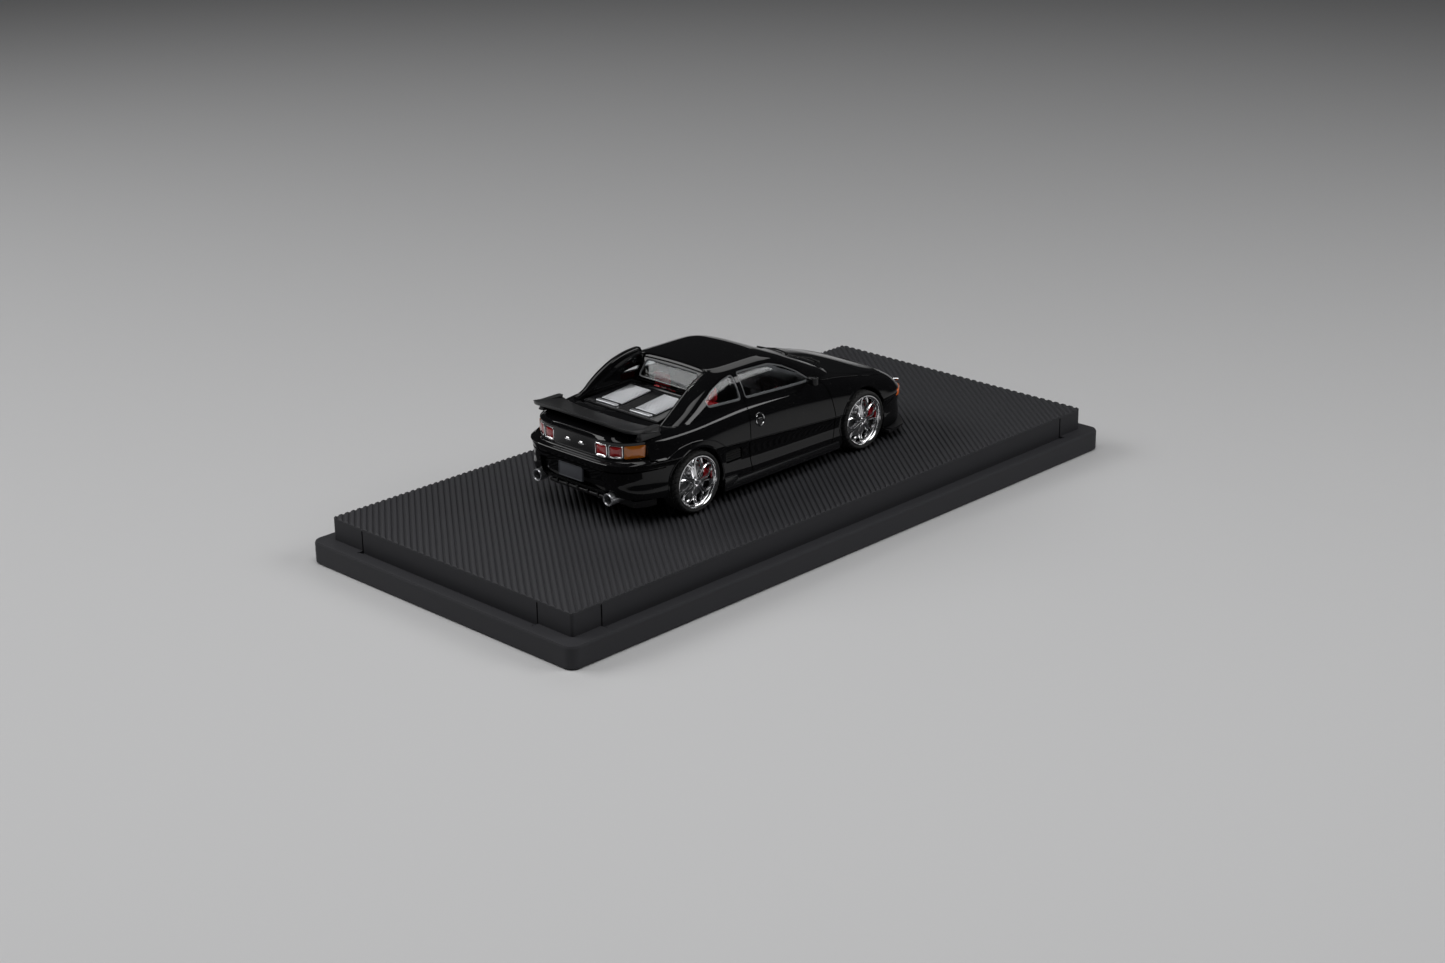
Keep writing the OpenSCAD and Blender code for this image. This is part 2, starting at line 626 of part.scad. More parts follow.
module wipers() {
    color("#141416") on_plinth() for (y = [-5.2, 1.6]) hull() {
        translate([12.5, y - 2.6, 15.15]) sphere(r = 0.12, $fn = 16);
        translate([12.5, y + 2.6, 15.15]) sphere(r = 0.12, $fn = 16);
    }
    color("#141416") on_plinth() for (y = [-5.2, 1.6]) hull() {
        translate([12.5, y, 15.2]) sphere(r = 0.14, $fn = 16);
        translate([15.2, y - 1.2, 14.1]) sphere(r = 0.2, $fn = 16);
    }
}

// ---- running gear ----

module brake_discs() {
    color("#8d8f92") on_plinth() at_wheels() difference() {
        along_y(2.9, 0.4);
        along_y(axle_d / 2 + 0.3, 2);
    }
}
module brake_calipers() {
    color("#c01018") on_plinth() for (x = [-axle_x, axle_x]) both_sides()
        translate([x, half_track, axle_z]) rotate([0, 20, 0]) difference() {
            intersection() {
                along_y(3.25, 1.1);
                translate([2.5, 0, 0]) cube([2.4, 3, 3.2], center = true);
            }
            along_y(2.95, 0.5);
        }
}
module axle_rod(x) {
    color("silver") on_plinth() translate([x, 0, axle_z]) along_y(axle_d / 2, track + 1.2);
}
module rim(x, side) {
    r = rim_d / 2;
    w = tyre_width;
    twist = 8; // half angle between the two spokes of a pair
    color("#d9dadc") on_plinth() translate([x, side * half_track, axle_z]) rotate([-90 * side, 0, 0]) {
        rotate_extrude($fn = 64) polygon([[r - 0.25, -w / 2 + 0.1], [r, -w / 2], [r, -w / 2 + 0.3],
            [r - 0.25, -w / 2 + 0.45], [r - 0.25, w / 2 - 0.45], [r, w / 2 - 0.3], [r, w / 2],
            [r - 0.3, w / 2 + 0.05], [r - 0.5, w / 2 - 0.7], [r - 0.5, -w / 2 + 0.1]]);
        difference() {
            union() {
                translate([0, 0, 0.75]) cylinder(r = 1.25, h = 0.65, $fn = 40);
                for (k = [0:spoke_pairs - 1]) for (s = [-1, 1]) rotate(k * 360 / spoke_pairs + s * twist)
                    translate([1, s * 0.12 - 0.14, 0.8]) cube([r - 1.4, 0.28, 0.5]);
            }
            cylinder(r = axle_d / 2 + 0.01, h = 1.2, $fn = 32);
        }
    }
}
module tyre(x, side) {
    r = tyre_d / 2;
    w = tyre_width / 2;
    inner = rim_d / 2 + 0.01;
    color("#19191a") on_plinth() translate([x, side * half_track, axle_z]) rotate([-90 * side, 0, 0])
        rotate_extrude($fn = 64) polygon([[inner, -w], [r - 0.35, -w - 0.05], [r - 0.1, -w + 0.2],
            [r, -w + 0.6], [r, w - 0.6], [r - 0.1, w - 0.2], [r - 0.35, w + 0.05], [inner, w]]);
}

display_base();
ribbed_deck();
base_screws();
chassis_plate();
chassis_screws();
body_shell();
interior_tub();
seat(1);  // seat_left
seat(-1);  // seat_right
dashboard();
steering_wheel();
windscreen();
door_glass();  // door_glass_left
mirror([0, 1, 0]) door_glass();  // door_glass_right
quarter_glass();  // quarter_glass_left
mirror([0, 1, 0]) quarter_glass();  // quarter_glass_right
rear_window();
engine_cover();
vent_mesh();
vent_bars();
rear_wing();
tail_panel();
stop_lamps();
turn_lamps();
number_plate();
silencer();
exhaust_tips();
rear_diffuser();
side_skirt();  // side_skirt_left
mirror([0, 1, 0]) side_skirt();  // side_skirt_right
front_lip();
mirror_arm();  // mirror_left
mirror([0, 1, 0]) mirror_arm();  // mirror_right
front_markers();
front_lamps();
side_grilles();
door_handles();
wipers();
brake_discs();
brake_calipers();
axle_rod(axle_x);  // front_axle
axle_rod(-axle_x);  // rear_axle
rim(axle_x, 1);  // rim_front_left
rim(axle_x, -1);  // rim_front_right
rim(-axle_x, 1);  // rim_rear_left
rim(-axle_x, -1);  // rim_rear_right
tyre(axle_x, 1);  // tyre_front_left
tyre(axle_x, -1);  // tyre_front_right
tyre(-axle_x, 1);  // tyre_rear_left
tyre(-axle_x, -1);  // tyre_rear_right
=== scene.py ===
"""Diecast sports coupe on its display base: the looks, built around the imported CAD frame."""

import math

import bmesh
import bpy
import numpy as np
from bpy.props import FloatProperty, FloatVectorProperty, IntProperty, PointerProperty
from mathutils import Matrix, Vector


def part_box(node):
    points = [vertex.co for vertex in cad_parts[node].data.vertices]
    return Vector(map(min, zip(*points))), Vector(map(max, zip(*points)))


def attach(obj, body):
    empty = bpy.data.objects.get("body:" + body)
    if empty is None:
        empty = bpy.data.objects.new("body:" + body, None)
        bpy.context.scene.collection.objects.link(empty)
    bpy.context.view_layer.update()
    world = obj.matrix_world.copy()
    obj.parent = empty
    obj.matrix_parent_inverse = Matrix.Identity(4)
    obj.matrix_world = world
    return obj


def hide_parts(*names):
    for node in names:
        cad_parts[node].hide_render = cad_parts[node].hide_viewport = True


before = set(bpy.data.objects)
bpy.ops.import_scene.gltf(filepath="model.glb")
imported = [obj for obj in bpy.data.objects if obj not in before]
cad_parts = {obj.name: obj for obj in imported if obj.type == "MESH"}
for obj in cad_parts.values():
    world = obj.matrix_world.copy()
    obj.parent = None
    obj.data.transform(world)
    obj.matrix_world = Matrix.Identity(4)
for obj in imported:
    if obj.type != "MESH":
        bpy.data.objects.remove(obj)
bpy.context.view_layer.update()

bl_info = {
    "name": "Collector car",
    "version": (1, 0, 0),
    "blender": (4, 5, 0),
    "location": "3D View > Sidebar > Collector car",
    "description": "Builds a 1:64 black coupe and its ribbed display base",
    "category": "Object",
}

# Sizes are in millimetres in the car's own frame: x forward from the middle of the
# wheelbase, y to the left, z up from the top of the plinth. place() brings them to metres.
MM = 0.001
PLINTH_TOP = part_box("ribbed_deck")[1].z
TYRE_LOW, TYRE_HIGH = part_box("tyre_front_left")
FRONT_AXLE, REAR_AXLE = (sum(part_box(name), Vector()) / 2 for name in ("front_axle", "rear_axle"))
CAR_ORIGIN = Vector(((FRONT_AXLE.x + REAR_AXLE.x) / 2, 0, PLINTH_TOP))
BASE_ORIGIN = Vector((0, 0, 0))
AXLE_X = (FRONT_AXLE.x - REAR_AXLE.x) / 2 / MM
AXLE_Z = (FRONT_AXLE.z - PLINTH_TOP) / MM
TYRE_R = (TYRE_HIGH.z - TYRE_LOW.z) / 2 / MM
HALF_TRACK = (TYRE_HIGH.y + TYRE_LOW.y) / 2 / MM
ARCH_R = TYRE_R + 0.75
WALL = 0.9
SIDES = (1, -1)

# Fittings that both the shell's pockets and their own builders use
MARKER_ANGLE = math.radians(-38)
MARKER_PLACE = (17.4, 27.4, 0)
EXHAUST_Y, EXHAUST_Z = 7.7, 4.5
HANDLE_CENTRE = (-5.1, 11.2)
STOP_LAMP_RUNS = (5.6, 8.15)
PANEL_LOW, PANEL_HIGH = 10.36, 13.0

# Body outlines from the sill to the deck edge: rear end, front end, half width,
# squareness, then the outline's height at each of HEIGHT_X.
HEIGHT_X = [-32.6, -19, -7, 11, 19, 32.6]
BODY = [
    [28.6, 28.4, 10.4, 6.0, 4.5, 3.2, 2.0, 2.0, 2.0, 1.9],
    [31.2, 31.2, 12.6, 6.5, 4.8, 3.4, 1.9, 1.9, 1.9, 1.7],
    [31.9, 31.9, 12.9, 6.0, 5.8, 5.0, 3.6, 3.4, 3.4, 3.0],
    [32.2, 32.3, 12.7, 5.5, 7.4, 7.0, 5.9, 5.4, 5.2, 4.8],
    [32.5, 32.6, 12.8, 5.5, 9.4, 8.9, 8.0, 6.9, 6.6, 6.2],
    [32.6, 32.4, 13.1, 5.5, 9.9, 9.5, 8.6, 7.2, 7.1, 6.9],
    [31.7, 31.8, 12.95, 5.2, 10.4, 10.6, 10.4, 9.3, 8.8, 7.7],
    [31.5, 30.6, 12.3, 5.0, 12.7, 12.9, 13.0, 12.0, 11.0, 8.4],
    [31.2, 28.8, 11.2, 4.6, 13.5, 13.7, 14.2, 13.4, 11.8, 9.2],
]
CROWN = [[-31, 0.2], [-20, 0.3], [10, 0.5], [15, 0.7], [22, 0.8], [28, 0.1]]

# Cabin outlines: height, rear end, front end, half width, centred on CABIN_X
CABIN_X = -3
CABIN = [
    [12.4, 25.5, 16.8, 12.0],
    [14.0, 22.0, 14.2, 11.55],
    [15.2, 19.4, 11.5, 11.1],
    [16.6, 16.6, 8.4, 10.4],
    [17.8, 13.8, 5.6, 9.6],
    [18.5, 12.0, 3.6, 8.7],
    [18.95, 10.9, 2.0, 7.3],
]
CABIN_SQUARENESS = (8, 4.5)
ROOF_CROWN = 0.35
DOOR_GLASS = [(-6.7, 14.5), (7.2, 13.8), (8, 14.1), (5.6, 15.9), (2.9, 17.3), (0.4, 18.1), (-6.7, 18.3)]
QUARTER_GLASS = [(-14.4, 14.9), (-7.5, 14.5), (-7.5, 18.25), (-10, 17.9), (-12.6, 17.1), (-14.7, 16.0)]


# ---- curves and outlines ----


def full_turn(count):
    """Evenly spaced angles round a circle, without the last one that would repeat the first."""
    return np.linspace(0, 2 * math.pi, count, endpoint=False)


def smooth_curve(xs, ys):
    """A function through the points that never overshoots them (monotone cubic)."""
    xs, ys = np.asarray(xs, float), np.asarray(ys, float)
    step = np.diff(xs)
    slope = np.diff(ys) / step
    tangent = np.zeros(len(xs))
    tangent[0], tangent[-1] = slope[0], slope[-1]
    for i in range(1, len(xs) - 1):
        if slope[i - 1] * slope[i] > 0:
            w1, w2 = 2 * step[i] + step[i - 1], step[i] + 2 * step[i - 1]
            tangent[i] = (w1 + w2) / (w1 / slope[i - 1] + w2 / slope[i])

    def at(x):
        x = np.clip(np.asarray(x, float), xs[0], xs[-1])
        i = np.clip(np.searchsorted(xs, x) - 1, 0, len(xs) - 2)
        h = step[i]
        t = (x - xs[i]) / h
        return (
            (1 + 2 * t) * (1 - t) ** 2 * ys[i]
            + t * (1 - t) ** 2 * h * tangent[i]
            + t * t * (3 - 2 * t) * ys[i + 1]
            + t * t * (t - 1) * h * tangent[i + 1]
        )

    return at


def levels(rows, per_row):
    """The rows with smooth steps between them."""
    rows = np.asarray(rows, float)
    key = np.arange(len(rows))
    fine = np.linspace(0, len(rows) - 1, (len(rows) - 1) * per_row + 1)
    return np.stack([smooth_curve(key, rows[:, j])(fine) for j in range(rows.shape[1])], axis=1)


def outline_steps(count, squareness, stretch):
    """Cosine and sine pairs that step evenly round half a superellipse, from its rear to its front."""
    angle = np.concatenate([[0], np.geomspace(1e-6, math.pi / 4, 3000)])
    half = np.concatenate([angle, (math.pi / 2 - angle)[::-1]])
    c, s = np.cos(half), np.sin(half)
    x, y = stretch * c ** (2 / squareness), s ** (2 / squareness)
    run = np.concatenate([[0], np.cumsum(np.hypot(np.diff(x), np.diff(y)))])
    even = np.interp(np.linspace(0, run[-1], count), run, half)
    c, s = np.cos(even), np.sin(even)
    c[-1], s[0] = 0, 0
    return np.concatenate([c, -c[-2::-1]]), np.concatenate([s, s[-2::-1]])


crown_at = smooth_curve(*zip(*CROWN))
BODY_LEVELS = levels(BODY, 6)
CABIN_LEVELS = levels(CABIN, 7)
LEVEL_HEIGHTS = [smooth_curve(HEIGHT_X, row[4:]) for row in BODY_LEVELS]


def bulge(x):
    """Swell of the fenders round the two axles."""
    rear = 0.3 * np.exp(-(((x + AXLE_X) / 7) ** 2))
    return rear + 0.15 * np.exp(-(((x - AXLE_X) / 7) ** 2))


def body_half(row, c, s, inset):
    """Points round one body outline, without its height."""
    reach = np.where(c > 0, row[0], row[1]) - inset
    x = -np.sign(c) * np.abs(c) ** (2 / row[3]) * reach
    return x, s ** (2 / row[3]) * (row[2] - inset + bulge(x))


def body_side(x, z):
    """Half width of the body at x and z."""
    heights = np.array([float(h(x)) for h in LEVEL_HEIGHTS])
    widths = []
    for row in BODY_LEVELS:
        reach = row[0] if x < 0 else row[1]
        widths.append((1 - min(1, abs(x) / reach) ** row[3]) ** (1 / row[3]) * (row[2] + bulge(x)))
    return float(np.interp(z, heights, widths))


def cabin_side(x, z, inset=0):
    """Half width of the cabin at x and z."""
    row = [np.interp(z, CABIN_LEVELS[:, 0], CABIN_LEVELS[:, j]) for j in range(4)]
    rear = x < CABIN_X
    n = CABIN_SQUARENESS[0 if rear else 1]
    reach = (row[1] + CABIN_X if rear else row[2] - CABIN_X) - inset
    return float((row[3] - inset) * (1 - min(1, abs(x - CABIN_X) / reach) ** n) ** (1 / n))


def rounded(outline, radius, steps=5):
    """The outline's points with every corner rounded off."""
    made = []
    pts = [np.array(p, float) for p in outline]
    for i, p in enumerate(pts):
        a, b = pts[i - 1] - p, pts[(i + 1) % len(pts)] - p
        la, lb = np.linalg.norm(a), np.linalg.norm(b)
        r = min(radius, la * 0.45, lb * 0.45)
        start, end = p + a / la * r, p + b / lb * r
        for t in np.linspace(0, 1, steps + 1):
            made.append(tuple((1 - t) ** 2 * start + 2 * t * (1 - t) * p + t * t * end))
    return made


def grown(outline, by):
    """The outline moved outwards by a distance, for outlines that run anticlockwise or clockwise."""
    pts = np.array(outline, float)
    ahead, behind = np.roll(pts, -1, 0) - pts, pts - np.roll(pts, 1, 0)
    area = np.sum(pts[:, 0] * np.roll(pts[:, 1], -1) - np.roll(pts[:, 0], -1) * pts[:, 1])
    turn = 1 if area > 0 else -1
    normal = []
    for a, b in zip(behind, ahead):
        na = np.array([a[1], -a[0]]) / (np.linalg.norm(a) + 1e-9)
        nb = np.array([b[1], -b[0]]) / (np.linalg.norm(b) + 1e-9)
        n = na + nb
        normal.append(n / max(0.5, n @ n / 2))
    return [tuple(p) for p in pts + turn * by * np.array(normal)]


def rounded_box_outline(x, y, radius, steps=6):
    return rounded([(x[0], y[0]), (x[1], y[0]), (x[1], y[1]), (x[0], y[1])], radius, steps)


# ---- solids ----


def solid(name, points, faces):
    """A closed mesh object, welded, with its faces pointing out."""
    mesh = bpy.data.meshes.new(name)
    mesh.from_pydata([tuple(map(float, p)) for p in points], [], faces)
    work = bmesh.new()
    work.from_mesh(mesh)
    bmesh.ops.remove_doubles(work, verts=work.verts, dist=1e-4)
    bmesh.ops.dissolve_degenerate(work, edges=work.edges, dist=1e-5)
    bmesh.ops.recalc_face_normals(work, faces=work.faces)
    work.to_mesh(mesh)
    work.free()
    obj = bpy.data.objects.new(name, mesh)
    bpy.context.scene.collection.objects.link(obj)
    return obj


def skin(name, rings, closed_ends=True, ring_closed=True):
    """A surface through equal rings of points, with its two ends capped."""
    n = len(rings[0])
    points = [p for ring in rings for p in ring]
    faces = []
    for i in range(len(rings) - 1):
        for k in range(n if ring_closed else n - 1):
            a, b = i * n + k, i * n + (k + 1) % n
            faces.append((a, b, b + n, a + n))
    if closed_ends:
        faces.append(tuple(range(n - 1, -1, -1)))
        faces.append(tuple(range(len(points) - n, len(points))))
    return solid(name, points, faces)


def prism(name, outline, low, high, along="y"):
    """The outline pushed straight along one axis: (x, z) outlines along y, (x, y) ones along z."""
    axes = {
        "x": lambda p, h: (h, p[0], p[1]),
        "y": lambda p, h: (p[0], h, p[1]),
        "z": lambda p, h: (p[0], p[1], h),
    }
    return skin(name, [[axes[along](p, h) for p in outline] for h in (low, high)])


def hull(name, points):
    mesh = bpy.data.meshes.new(name)
    work = bmesh.new()
    for p in points:
        work.verts.new(p)
    made = bmesh.ops.convex_hull(work, input=work.verts)
    bmesh.ops.delete(work, geom=list({g for g in made["geom_interior"]}), context="VERTS")
    bmesh.ops.recalc_face_normals(work, faces=work.faces)
    work.to_mesh(mesh)
    work.free()
    obj = bpy.data.objects.new(name, mesh)
    bpy.context.scene.collection.objects.link(obj)
    return obj


def box(name, x, y, z, bevel=0.0, segments=2):
    """A block with soft edges."""
    pts = [(a, b, c) for a in x for b in y for c in z]
    faces = [(0, 1, 3, 2), (4, 6, 7, 5), (0, 4, 5, 1), (2, 3, 7, 6), (0, 2, 6, 4), (1, 5, 7, 3)]
    obj = solid(name, pts, faces)
    if bevel:
        soften(obj, bevel, segments)
    return obj


def soften(obj, width, segments=2, angle=30):
    """Rounds every edge that is sharper than the angle."""
    work = bmesh.new()
    work.from_mesh(obj.data)
    sharp = [e for e in work.edges if len(e.link_faces) == 2 and e.calc_face_angle(0) > math.radians(angle)]
    bmesh.ops.bevel(work, geom=sharp, offset=width, segments=segments, profile=0.5, affect="EDGES",
                    clamp_overlap=True)
    work.to_mesh(obj.data)
    work.free()
    return obj


def turned(name, profile, centre, steps=96, side=1):
    """A profile of (radius, distance out) turned round the y axis through the centre."""
    rings = []
    for k in range(steps):
        a = 2 * math.pi * k / steps
        rings.append([(centre[0] + r * math.cos(a), centre[1] + side * w,
                       centre[2] + r * math.sin(a)) for r, w in profile])
    rings.append(rings[0])
    return skin(name, rings, closed_ends=False)


def tube(name, path, radius, sides=10, closed=False, flat=1.0):
    """A round bead along a path, thinner across it when flat is below 1."""
    pts = np.array(path, float)
    if closed:
        tangent = np.roll(pts, -1, 0) - np.roll(pts, 1, 0)
    else:
        tangent = np.gradient(pts, axis=0)
    tangent /= np.linalg.norm(tangent, axis=1)[:, None] + 1e-12
    up = np.array([0.0, 0.0, 1.0])
    if abs(tangent[0] @ up) > 0.9:
        up = np.array([0.0, 1.0, 0.0])
    radii = np.broadcast_to(np.asarray(radius, float), (len(pts),))
    rings = []
    for p, t, r in zip(pts, tangent, radii):
        up = up - (up @ t) * t
        up /= np.linalg.norm(up)
        across = np.cross(t, up)
        rings.append([p + r * (math.cos(a) * up + flat * math.sin(a) * across)
                      for a in full_turn(sides)])
    if closed:
        rings.append(rings[0])
    return skin(name, rings, closed_ends=not closed)


def pad(name, surface, outline, rise, depth, rings=6, power=4):
    """A domed pad with any convex outline, laid on a surface(u, v, out)."""
    pts = np.array(outline, float)
    centre = pts.mean(0)
    loops = []
    for rho in np.linspace(0.02, 1, rings):
        out = rise * (1 - rho ** power)
        loops.append([surface(*(centre + rho * (p - centre)), out) for p in pts])
    loops.append([surface(*p, -depth) for p in pts])
    return skin(name, loops)


def joined(name, parts):
    """One object made of several, which may pass through each other."""
    mesh = bpy.data.meshes.new(name)
    work = bmesh.new()
    for part in parts:
        work.from_mesh(part.data)
        bpy.data.objects.remove(part)
    work.to_mesh(mesh)
    work.free()
    obj = bpy.data.objects.new(name, mesh)
    bpy.context.scene.collection.objects.link(obj)
    return obj


def combine(target, tool, operation, keep=False):
    """Adds, cuts or keeps what the two solids share."""
    modifier = target.modifiers.new("combine", "BOOLEAN")
    modifier.operation = operation
    modifier.solver = "MANIFOLD"
    modifier.object = tool
    depsgraph = bpy.context.evaluated_depsgraph_get()
    mesh = bpy.data.meshes.new_from_object(target.evaluated_get(depsgraph))
    target.modifiers.clear()
    if not len(mesh.polygons):
        raise RuntimeError(f"{operation} of {tool.name} left nothing of {target.name}")
    target.data = mesh
    if not keep:
        bpy.data.objects.remove(tool)
    return target


def cut(target, *tools):
    for tool in tools:
        combine(target, tool, "DIFFERENCE")
    return target


def copy_of(obj, name):
    twin = obj.copy()
    twin.data = obj.data.copy()
    twin.name = name
    bpy.context.scene.collection.objects.link(twin)
    return twin


def moved(obj, matrix):
    obj.data.transform(matrix)
    if matrix.determinant() < 0:
        obj.data.flip_normals()
    return obj


def mirrored(obj, name):
    """A twin of the piece on the car's other side."""
    return moved(copy_of(obj, name), Matrix.Diagonal((1, -1, 1, 1)))


def place(obj, material, nodes=(), body="root", origin=None, angle=30):
    """Brings a finished piece to metres in the frame, shades it and fastens it to its body."""
    obj.data.transform(Matrix.Translation(CAR_ORIGIN if origin is None else origin) @ Matrix.Scale(MM, 4))
    obj.data.materials.clear()
    obj.data.materials.append(material)
    for polygon in obj.data.polygons:
        polygon.material_index = 0
    obj.data.shade_smooth()
    obj.data.set_sharp_from_angle(angle=math.radians(angle))
    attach(obj, body)
    if nodes:
        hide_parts(*nodes)
    return obj


def finish_node(node, material):
    """Gives a CAD node that stays in view its finish."""
    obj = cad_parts[node]
    obj.data.materials.clear()
    obj.data.materials.append(material)
    return obj


# ---- materials ----


def node_group(name, inputs, outputs):
    """An empty shader node group with named sockets."""
    group = bpy.data.node_groups.new(name, "ShaderNodeTree")
    for label, kind, default in inputs:
        socket = group.interface.new_socket(name=label, in_out="INPUT", socket_type=kind)
        socket.default_value = default
    for label, kind in outputs:
        group.interface.new_socket(name=label, in_out="OUTPUT", socket_type=kind)
    return group, group.nodes.new("NodeGroupInput"), group.nodes.new("NodeGroupOutput")


def grain_group():
    """Fine moulded grain with a slow unevenness under it."""
    group = bpy.data.node_groups.get("moulded_grain")
    if group:
        return group
    group, given, made = node_group(
        "moulded_grain",
        [("Scale", "NodeSocketFloat", 4000.0), ("Unevenness", "NodeSocketFloat", 0.3)],
        [("Height", "NodeSocketFloat"), ("Mask", "NodeSocketFloat")],
    )
    nodes, links = group.nodes, group.links
    place_on = nodes.new("ShaderNodeTexCoord")
    fine = nodes.new("ShaderNodeTexNoise")
    fine.inputs["Detail"].default_value = 3
    slow = nodes.new("ShaderNodeTexNoise")
    slow.inputs["Scale"].default_value = 180
    mix = nodes.new("ShaderNodeMix")
    links.new(place_on.outputs["Object"], fine.inputs["Vector"])
    links.new(place_on.outputs["Object"], slow.inputs["Vector"])
    links.new(given.outputs["Scale"], fine.inputs["Scale"])
    links.new(given.outputs["Unevenness"], mix.inputs["Factor"])
    links.new(fine.outputs["Fac"], mix.inputs["A"])
    links.new(slow.outputs["Fac"], mix.inputs["B"])
    links.new(mix.outputs["Result"], made.inputs["Height"])
    links.new(slow.outputs["Fac"], made.inputs["Mask"])
    return group


def dust_group():
    """Sparse specks and a thin film that lift the colour and dull the gloss."""
    group = bpy.data.node_groups.get("settled_dust")
    if group:
        return group
    group, given, made = node_group(
        "settled_dust",
        [
            ("Color", "NodeSocketColor", (0.1, 0.1, 0.1, 1)),
            ("Roughness", "NodeSocketFloat", 0.3),
            ("Amount", "NodeSocketFloat", 0.3),
        ],
        [("Color", "NodeSocketColor"), ("Roughness", "NodeSocketFloat")],
    )
    nodes, links = group.nodes, group.links
    place_on = nodes.new("ShaderNodeTexCoord")
    specks = nodes.new("ShaderNodeTexNoise")
    specks.inputs["Scale"].default_value = 2600
    film = nodes.new("ShaderNodeTexNoise")
    film.inputs["Scale"].default_value = 90
    sparse = nodes.new("ShaderNodeMapRange")
    sparse.inputs["From Min"].default_value = 0.66
    sparse.inputs["From Max"].default_value = 0.8
    both = nodes.new("ShaderNodeMath")
    both.operation = "ADD"
    thin = nodes.new("ShaderNodeMath")
    thin.operation = "MULTIPLY"
    thin.inputs[1].default_value = 0.06
    share = nodes.new("ShaderNodeMath")
    share.operation = "MULTIPLY"
    share.use_clamp = True
    colour = nodes.new("ShaderNodeMix")
    colour.data_type = "RGBA"
    colour.inputs[7].default_value = (0.35, 0.34, 0.33, 1)
    rough = nodes.new("ShaderNodeMix")
    rough.inputs["B"].default_value = 0.7
    for noise in (specks, film):
        links.new(place_on.outputs["Object"], noise.inputs["Vector"])
    links.new(specks.outputs["Fac"], sparse.inputs["Value"])
    links.new(film.outputs["Fac"], thin.inputs[0])
    links.new(sparse.outputs["Result"], both.inputs[0])
    links.new(thin.outputs["Value"], both.inputs[1])
    links.new(both.outputs["Value"], share.inputs[0])
    links.new(given.outputs["Amount"], share.inputs[1])
    links.new(share.outputs["Value"], colour.inputs[0])
    links.new(share.outputs["Value"], rough.inputs["Factor"])
    links.new(given.outputs["Color"], colour.inputs[6])
    links.new(given.outputs["Roughness"], rough.inputs["A"])
    links.new(colour.outputs[2], made.inputs["Color"])
    links.new(rough.outputs["Result"], made.inputs["Roughness"])
    return group


def lines_group():
    """Fine parallel lines, as on brushed or turned metal and moulded ribs."""
    group = bpy.data.node_groups.get("fine_lines")
    if group:
        return group
    group, given, made = node_group(
        "fine_lines",
        [("Scale", "NodeSocketFloat", 900.0), ("Wander", "NodeSocketFloat", 1.0)],
        [("Height", "NodeSocketFloat")],
    )
    nodes, links = group.nodes, group.links
    place_on = nodes.new("ShaderNodeTexCoord")
    wave = nodes.new("ShaderNodeTexWave")
    wave.bands_direction = "X"
    wave.inputs["Detail"].default_value = 2
    links.new(place_on.outputs["Object"], wave.inputs["Vector"])
    links.new(given.outputs["Scale"], wave.inputs["Scale"])
    links.new(given.outputs["Wander"], wave.inputs["Distortion"])
    links.new(wave.outputs["Fac"], made.inputs["Height"])
    return group


def add_group(material, group, **values):
    node = material.node_tree.nodes.new("ShaderNodeGroup")
    node.node_tree = group
    for label, value in values.items():
        node.inputs[label].default_value = value
    return node


def base_material(name, color, roughness, metallic=0.0, dust=0.2, grain=0.0, grain_scale=4000.0, lines=0.0,
                  line_scale=900.0, **constants):
    """A Principled finish with dust on it and grain or fine lines in its surface."""
    found = bpy.data.materials.get(name)
    if found:
        return found
    material = bpy.data.materials.new(name)
    material.use_nodes = True
    links = material.node_tree.links
    shader = material.node_tree.nodes["Principled BSDF"]
    shader.inputs["Metallic"].default_value = metallic
    for label, value in constants.items():
        shader.inputs[label.replace("_", " ")].default_value = value
    film = add_group(material, dust_group(), Color=(*color, 1), Roughness=roughness, Amount=dust)
    links.new(film.outputs["Color"], shader.inputs["Base Color"])
    links.new(film.outputs["Roughness"], shader.inputs["Roughness"])
    if grain or lines:
        bump = material.node_tree.nodes.new("ShaderNodeBump")
        bump.inputs["Strength"].default_value = grain or lines
        bump.inputs["Distance"].default_value = 0.00003
        if grain:
            texture = add_group(material, grain_group(), Scale=grain_scale, Unevenness=0.25)
        else:
            texture = add_group(material, lines_group(), Scale=line_scale, Wander=1.5)
        links.new(texture.outputs["Height"], bump.inputs["Height"])
        links.new(bump.outputs["Normal"], shader.inputs["Normal"])
    return material


def settings():
    return bpy.context.scene.collector_car


def body_paint():
    """Deep gloss black lacquer under a clear coat."""
    return base_material("gloss_black_lacquer", settings().paint_color, 0.12, dust=settings().dust * 0.5,
                         grain=0.02, grain_scale=900.0, Coat_Weight=1.0, Coat_Roughness=0.03, Coat_IOR=1.36,
                         Specular_IOR_Level=0.0)


def trim_black():
    return base_material("gloss_black_trim", (0.006, 0.006, 0.007), 0.18, dust=settings().dust,
                         grain=0.03, grain_scale=2500.0)


def satin_black():
    return base_material("satin_black_trim", (0.014, 0.014, 0.015), 0.33, dust=settings().dust,
                         grain=0.12, grain_scale=5000.0)


def matt_black():
    return base_material("matt_black_recess", (0.006, 0.006, 0.006), 0.7, dust=settings().dust, grain=0.2)


def base_plastic():
    """Moulded black plastic with a soft sheen, as on the display base."""
    return base_material("base_plastic", settings().base_color, 0.34, dust=settings().dust * 0.6,
                         grain=0.1, grain_scale=3500.0, Specular_IOR_Level=0.2)


def rib_plastic():
    return base_material("rib_plastic", settings().base_color, 0.36, dust=settings().dust,
                         grain=0.15, grain_scale=3500.0, Specular_IOR_Level=0.1)


def cabin_plastic():
    return base_material("cabin_plastic", (0.02, 0.02, 0.022), 0.5, dust=settings().dust, grain=0.25)


def seat_plastic():
    return base_material("seat_red_plastic", settings().seat_color, 0.38, dust=settings().dust, grain=0.2,
                         grain_scale=2500.0)


